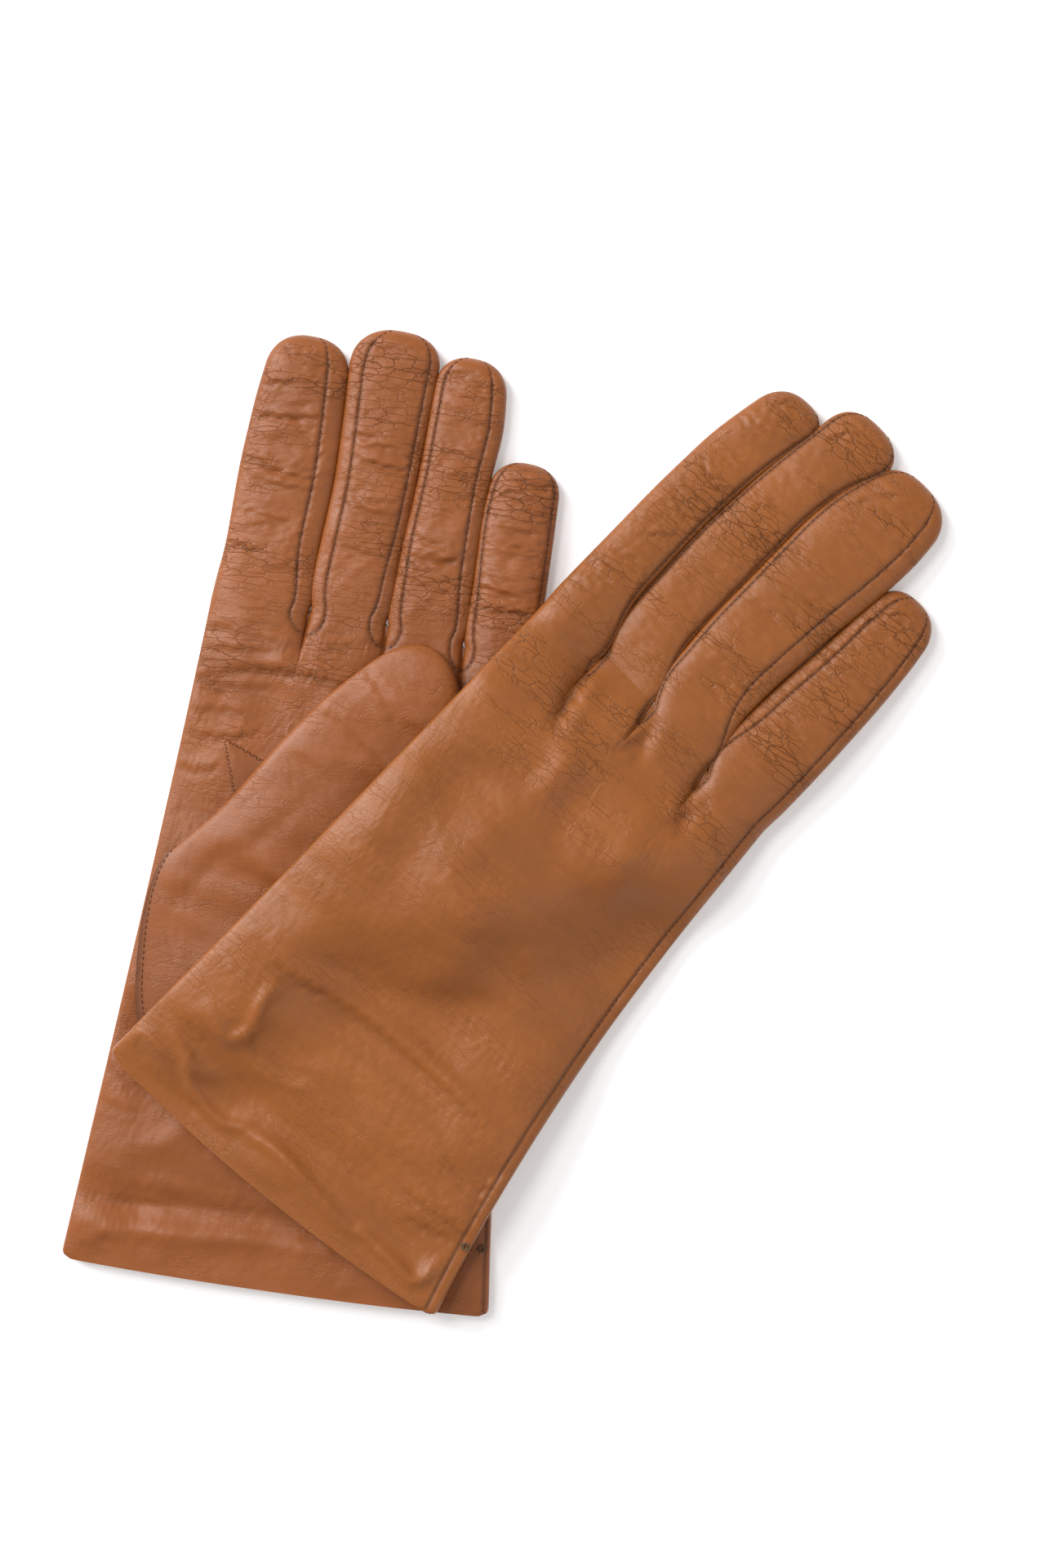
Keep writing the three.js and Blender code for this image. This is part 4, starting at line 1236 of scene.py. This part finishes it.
def on_top(glove, x, y, lift=0.0):
    """Points of the plan laid on the hand's top face: the height of its nearest grid point."""
    gx, gy, gz = glove["surface"][:3]
    gap = (gx.ravel()[None] - x[:, None]) ** 2 + (gy.ravel()[None] - y[:, None]) ** 2
    return placed(glove, x, y, gz.ravel()[gap.argmin(axis=1)] + lift)


def hand_seams(glove):
    """The upper half of the outseam, whose stitches sink in nearer the cuff, and the U round each
    gap's foot."""
    v = np.linspace(0.985, 0.5, 40)
    along = v * glove["fingers"][3]["y"]
    lines = [on_top(glove, sewn_edge(glove, v) - glove["outseam"], along, STITCH_LIFT)]
    for one, other in zip(glove["fingers"][:-1], glove["fingers"][1:]):
        foot_x, foot_y = foot_of_gap(one, other)
        angle = np.linspace(np.pi, 2 * np.pi, 24)
        wide = np.where(angle < 1.5 * np.pi, one["foot"][1], other["foot"][0]) + FINGER_GAP / 2
        u_x, u_y = foot_x + wide * np.cos(angle), foot_y + FOOT_DEPTH * np.sin(angle)
        lines.append(on_top(glove, u_x, u_y, STITCH_LIFT))
    return lines


for glove in (left, right):
    name = body_name(glove, "outseam_thread")
    piece = stitches(name + "_stitches", hand_seams(glove))
    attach(piece, body_name(glove, "hand"))
    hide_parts(name)
    for f in glove["fingers"]:
        lines = [f["seam_points"][1] + (0, 0, STITCH_LIFT / 1000)]
        if f["name"] != "index":
            lines.append(f["seam_points"][0] + (0, 0, STITCH_LIFT / 1000))
        piece = stitches(body_name(glove, f["name"] + "_stitches"), [line[2:-6] for line in lines])
        bend_with_hand(piece, glove, f)

seam_x, seam_y, seam_z = left_thumb_seam
thumb_seam_line = placed(left, seam_x, seam_y, seam_z + 0.1)
piece = stitches("left_thumb_seam_stitches", [thumb_seam_line])
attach(piece, "left_hand")
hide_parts("left_thumb_seam_thread")

# ---------------------------------------------------------------- quirks
# A quirk is a small triangle of leather let in beside the thumb, to give it room. The left one
# shows, with zigzag stitching on its two long sides. The right one lies hidden.
QUIRK_LEATHER = 0.45
QUIRK_LIFT = 0.55
QUIRK_REACH = 12  # how far the hidden quirk reaches out from the thumb
QUIRK_FOOT = (35, 45)  # where along the thumb its foot starts and ends


def quirk(tip, one_foot, other_foot, height):
    """A triangular patch as a grid from its foot to its tip, at the given height, puffed up a
    little in its middle by a product of two half waves."""
    down = np.linspace(1, 0.02, 16)[:, None]
    across = np.linspace(0, 1, 10)[None, :]
    tip, one, other = np.array(tip), np.array(one_foot), np.array(other_foot)
    plan = tip + down[:, :, None] * ((one - tip) + across[:, :, None] * (other - one))
    x, y = plan[..., 0], plan[..., 1]
    puff = 0.35 * np.sin(np.pi * across) * np.sin(np.pi * down ** 0.7)
    return x, y, height(x, y) + puff


left_quirk_tip = (-33.7, 153.4)
left_quirk_feet = ((-29, 137.5), (-21.5, 148))


def over_left_palm(x, y):
    """The left palm's top face with room for the patch."""
    flat = on_top(left, x.ravel(), y.ravel(), QUIRK_LIFT)[:, 2] * 1000
    return flat.reshape(x.shape)


x, y, z = quirk(left_quirk_tip, left_quirk_feet[0], left_quirk_feet[1], over_left_palm)
piece = sheet_of_leather(
    "left_thumb_quirk_leather", placed(left, x, y, z), left["leather"], thick=QUIRK_LEATHER,
    marks={"seam": 0.25 * np.ones_like(x), "worn": np.zeros_like(x)},
)
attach(piece, "left_hand")
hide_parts("left_thumb_quirk")
quirk_sides = [placed(left, x[:, k], y[:, k], z[:, k] + 0.12) for k in (0, -1)]
piece = stitches("left_thumb_quirk_stitches", quirk_sides, zigzag=0.9, pitch=1.1)
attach(piece, "left_hand")


def under_right_palm(x, y):
    """Just below the right palm where the hidden patch lies."""
    return np.full(np.shape(x), float(right["drape"](x, y).min()) - 1.2)


near = -(RIGHT_THUMB["base"] + 0.3)
a = np.radians(RIGHT_THUMB["heading"])
corners = []
for aside, along in ((near, QUIRK_FOOT[0]), (near, QUIRK_FOOT[1]), (near - QUIRK_REACH, QUIRK_FOOT[1])):
    corners.append((RIGHT_THUMB["x"] + along * np.sin(a) + aside * np.cos(a),
                    RIGHT_THUMB["y"] + along * np.cos(a) - aside * np.sin(a)))
x, y, z = quirk(corners[2], corners[0], corners[1], under_right_palm)
piece = sheet_of_leather(
    "right_thumb_quirk_leather", placed(right, x, y, z), right["leather"], thick=QUIRK_LEATHER,
    marks={"seam": np.zeros_like(x), "worn": np.zeros_like(x)},
)
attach(piece, "right_hand")
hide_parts("right_thumb_quirk")

# ---------------------------------------------------------------- tack knots
# A few turns of olive brown thread, pulled tight, hold the turned hem at the outseam.
KNOT_STEPS = 28
KNOT_SIDES = 8
KNOT_THREAD = 0.24


def knot(name, glove, x, y, z):
    """A knot as three short crossing loops: flattened rings of thread round one middle."""
    turns = np.linspace(0, 2 * np.pi, KNOT_STEPS, endpoint=False)[:, None]
    ring = np.linspace(0, 2 * np.pi, KNOT_SIDES, endpoint=False)[None, :]
    parts, faces = [], []
    for number, tilt in enumerate((0.2, 1.3, 2.4)):
        wide, low = 1.3 - 0.15 * number, 0.55
        radial = 1 + KNOT_THREAD * np.cos(ring)
        px = wide * np.cos(turns) * radial
        py = low * np.sin(turns) * radial
        pz = KNOT_THREAD * np.sin(ring) + 0.22 * number + 0.1 * np.cos(2 * turns)
        qx, qy = px * np.cos(tilt) - py * np.sin(tilt), px * np.sin(tilt) + py * np.cos(tilt)
        parts.append(placed(glove, x + qx, y + qy, z + pz).reshape(-1, 3))
        index = np.arange(px.size).reshape(px.shape) + number * px.size
        ahead, beside = np.roll(index, -1, axis=0), np.roll(index, -1, axis=1)
        both = np.roll(ahead, -1, axis=1)
        faces += np.stack([index, ahead, both, beside], axis=-1).reshape(-1, 4).tolist()
    mesh = bpy.data.meshes.new(name)
    mesh.from_pydata(np.concatenate(parts).tolist(), [], faces)
    mesh.materials.append(tack_thread)
    mesh.shade_smooth()
    piece = bpy.data.objects.new(name, mesh)
    bpy.context.scene.collection.objects.link(piece)
    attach(piece, body_name(glove, "hand"))
    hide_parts(body_name(glove, "tack_knot"))


for glove, knot_x, knot_y, lift in ((right, 54.0, 19.0, 0.15), (left, 57.4, 16.0, 0.1)):
    knot_z = float(on_top(glove, np.array([knot_x]), np.array([knot_y]), lift)[0, 2]) * 1000
    knot(body_name(glove, "tack_knot_thread"), glove, knot_x, knot_y, knot_z)
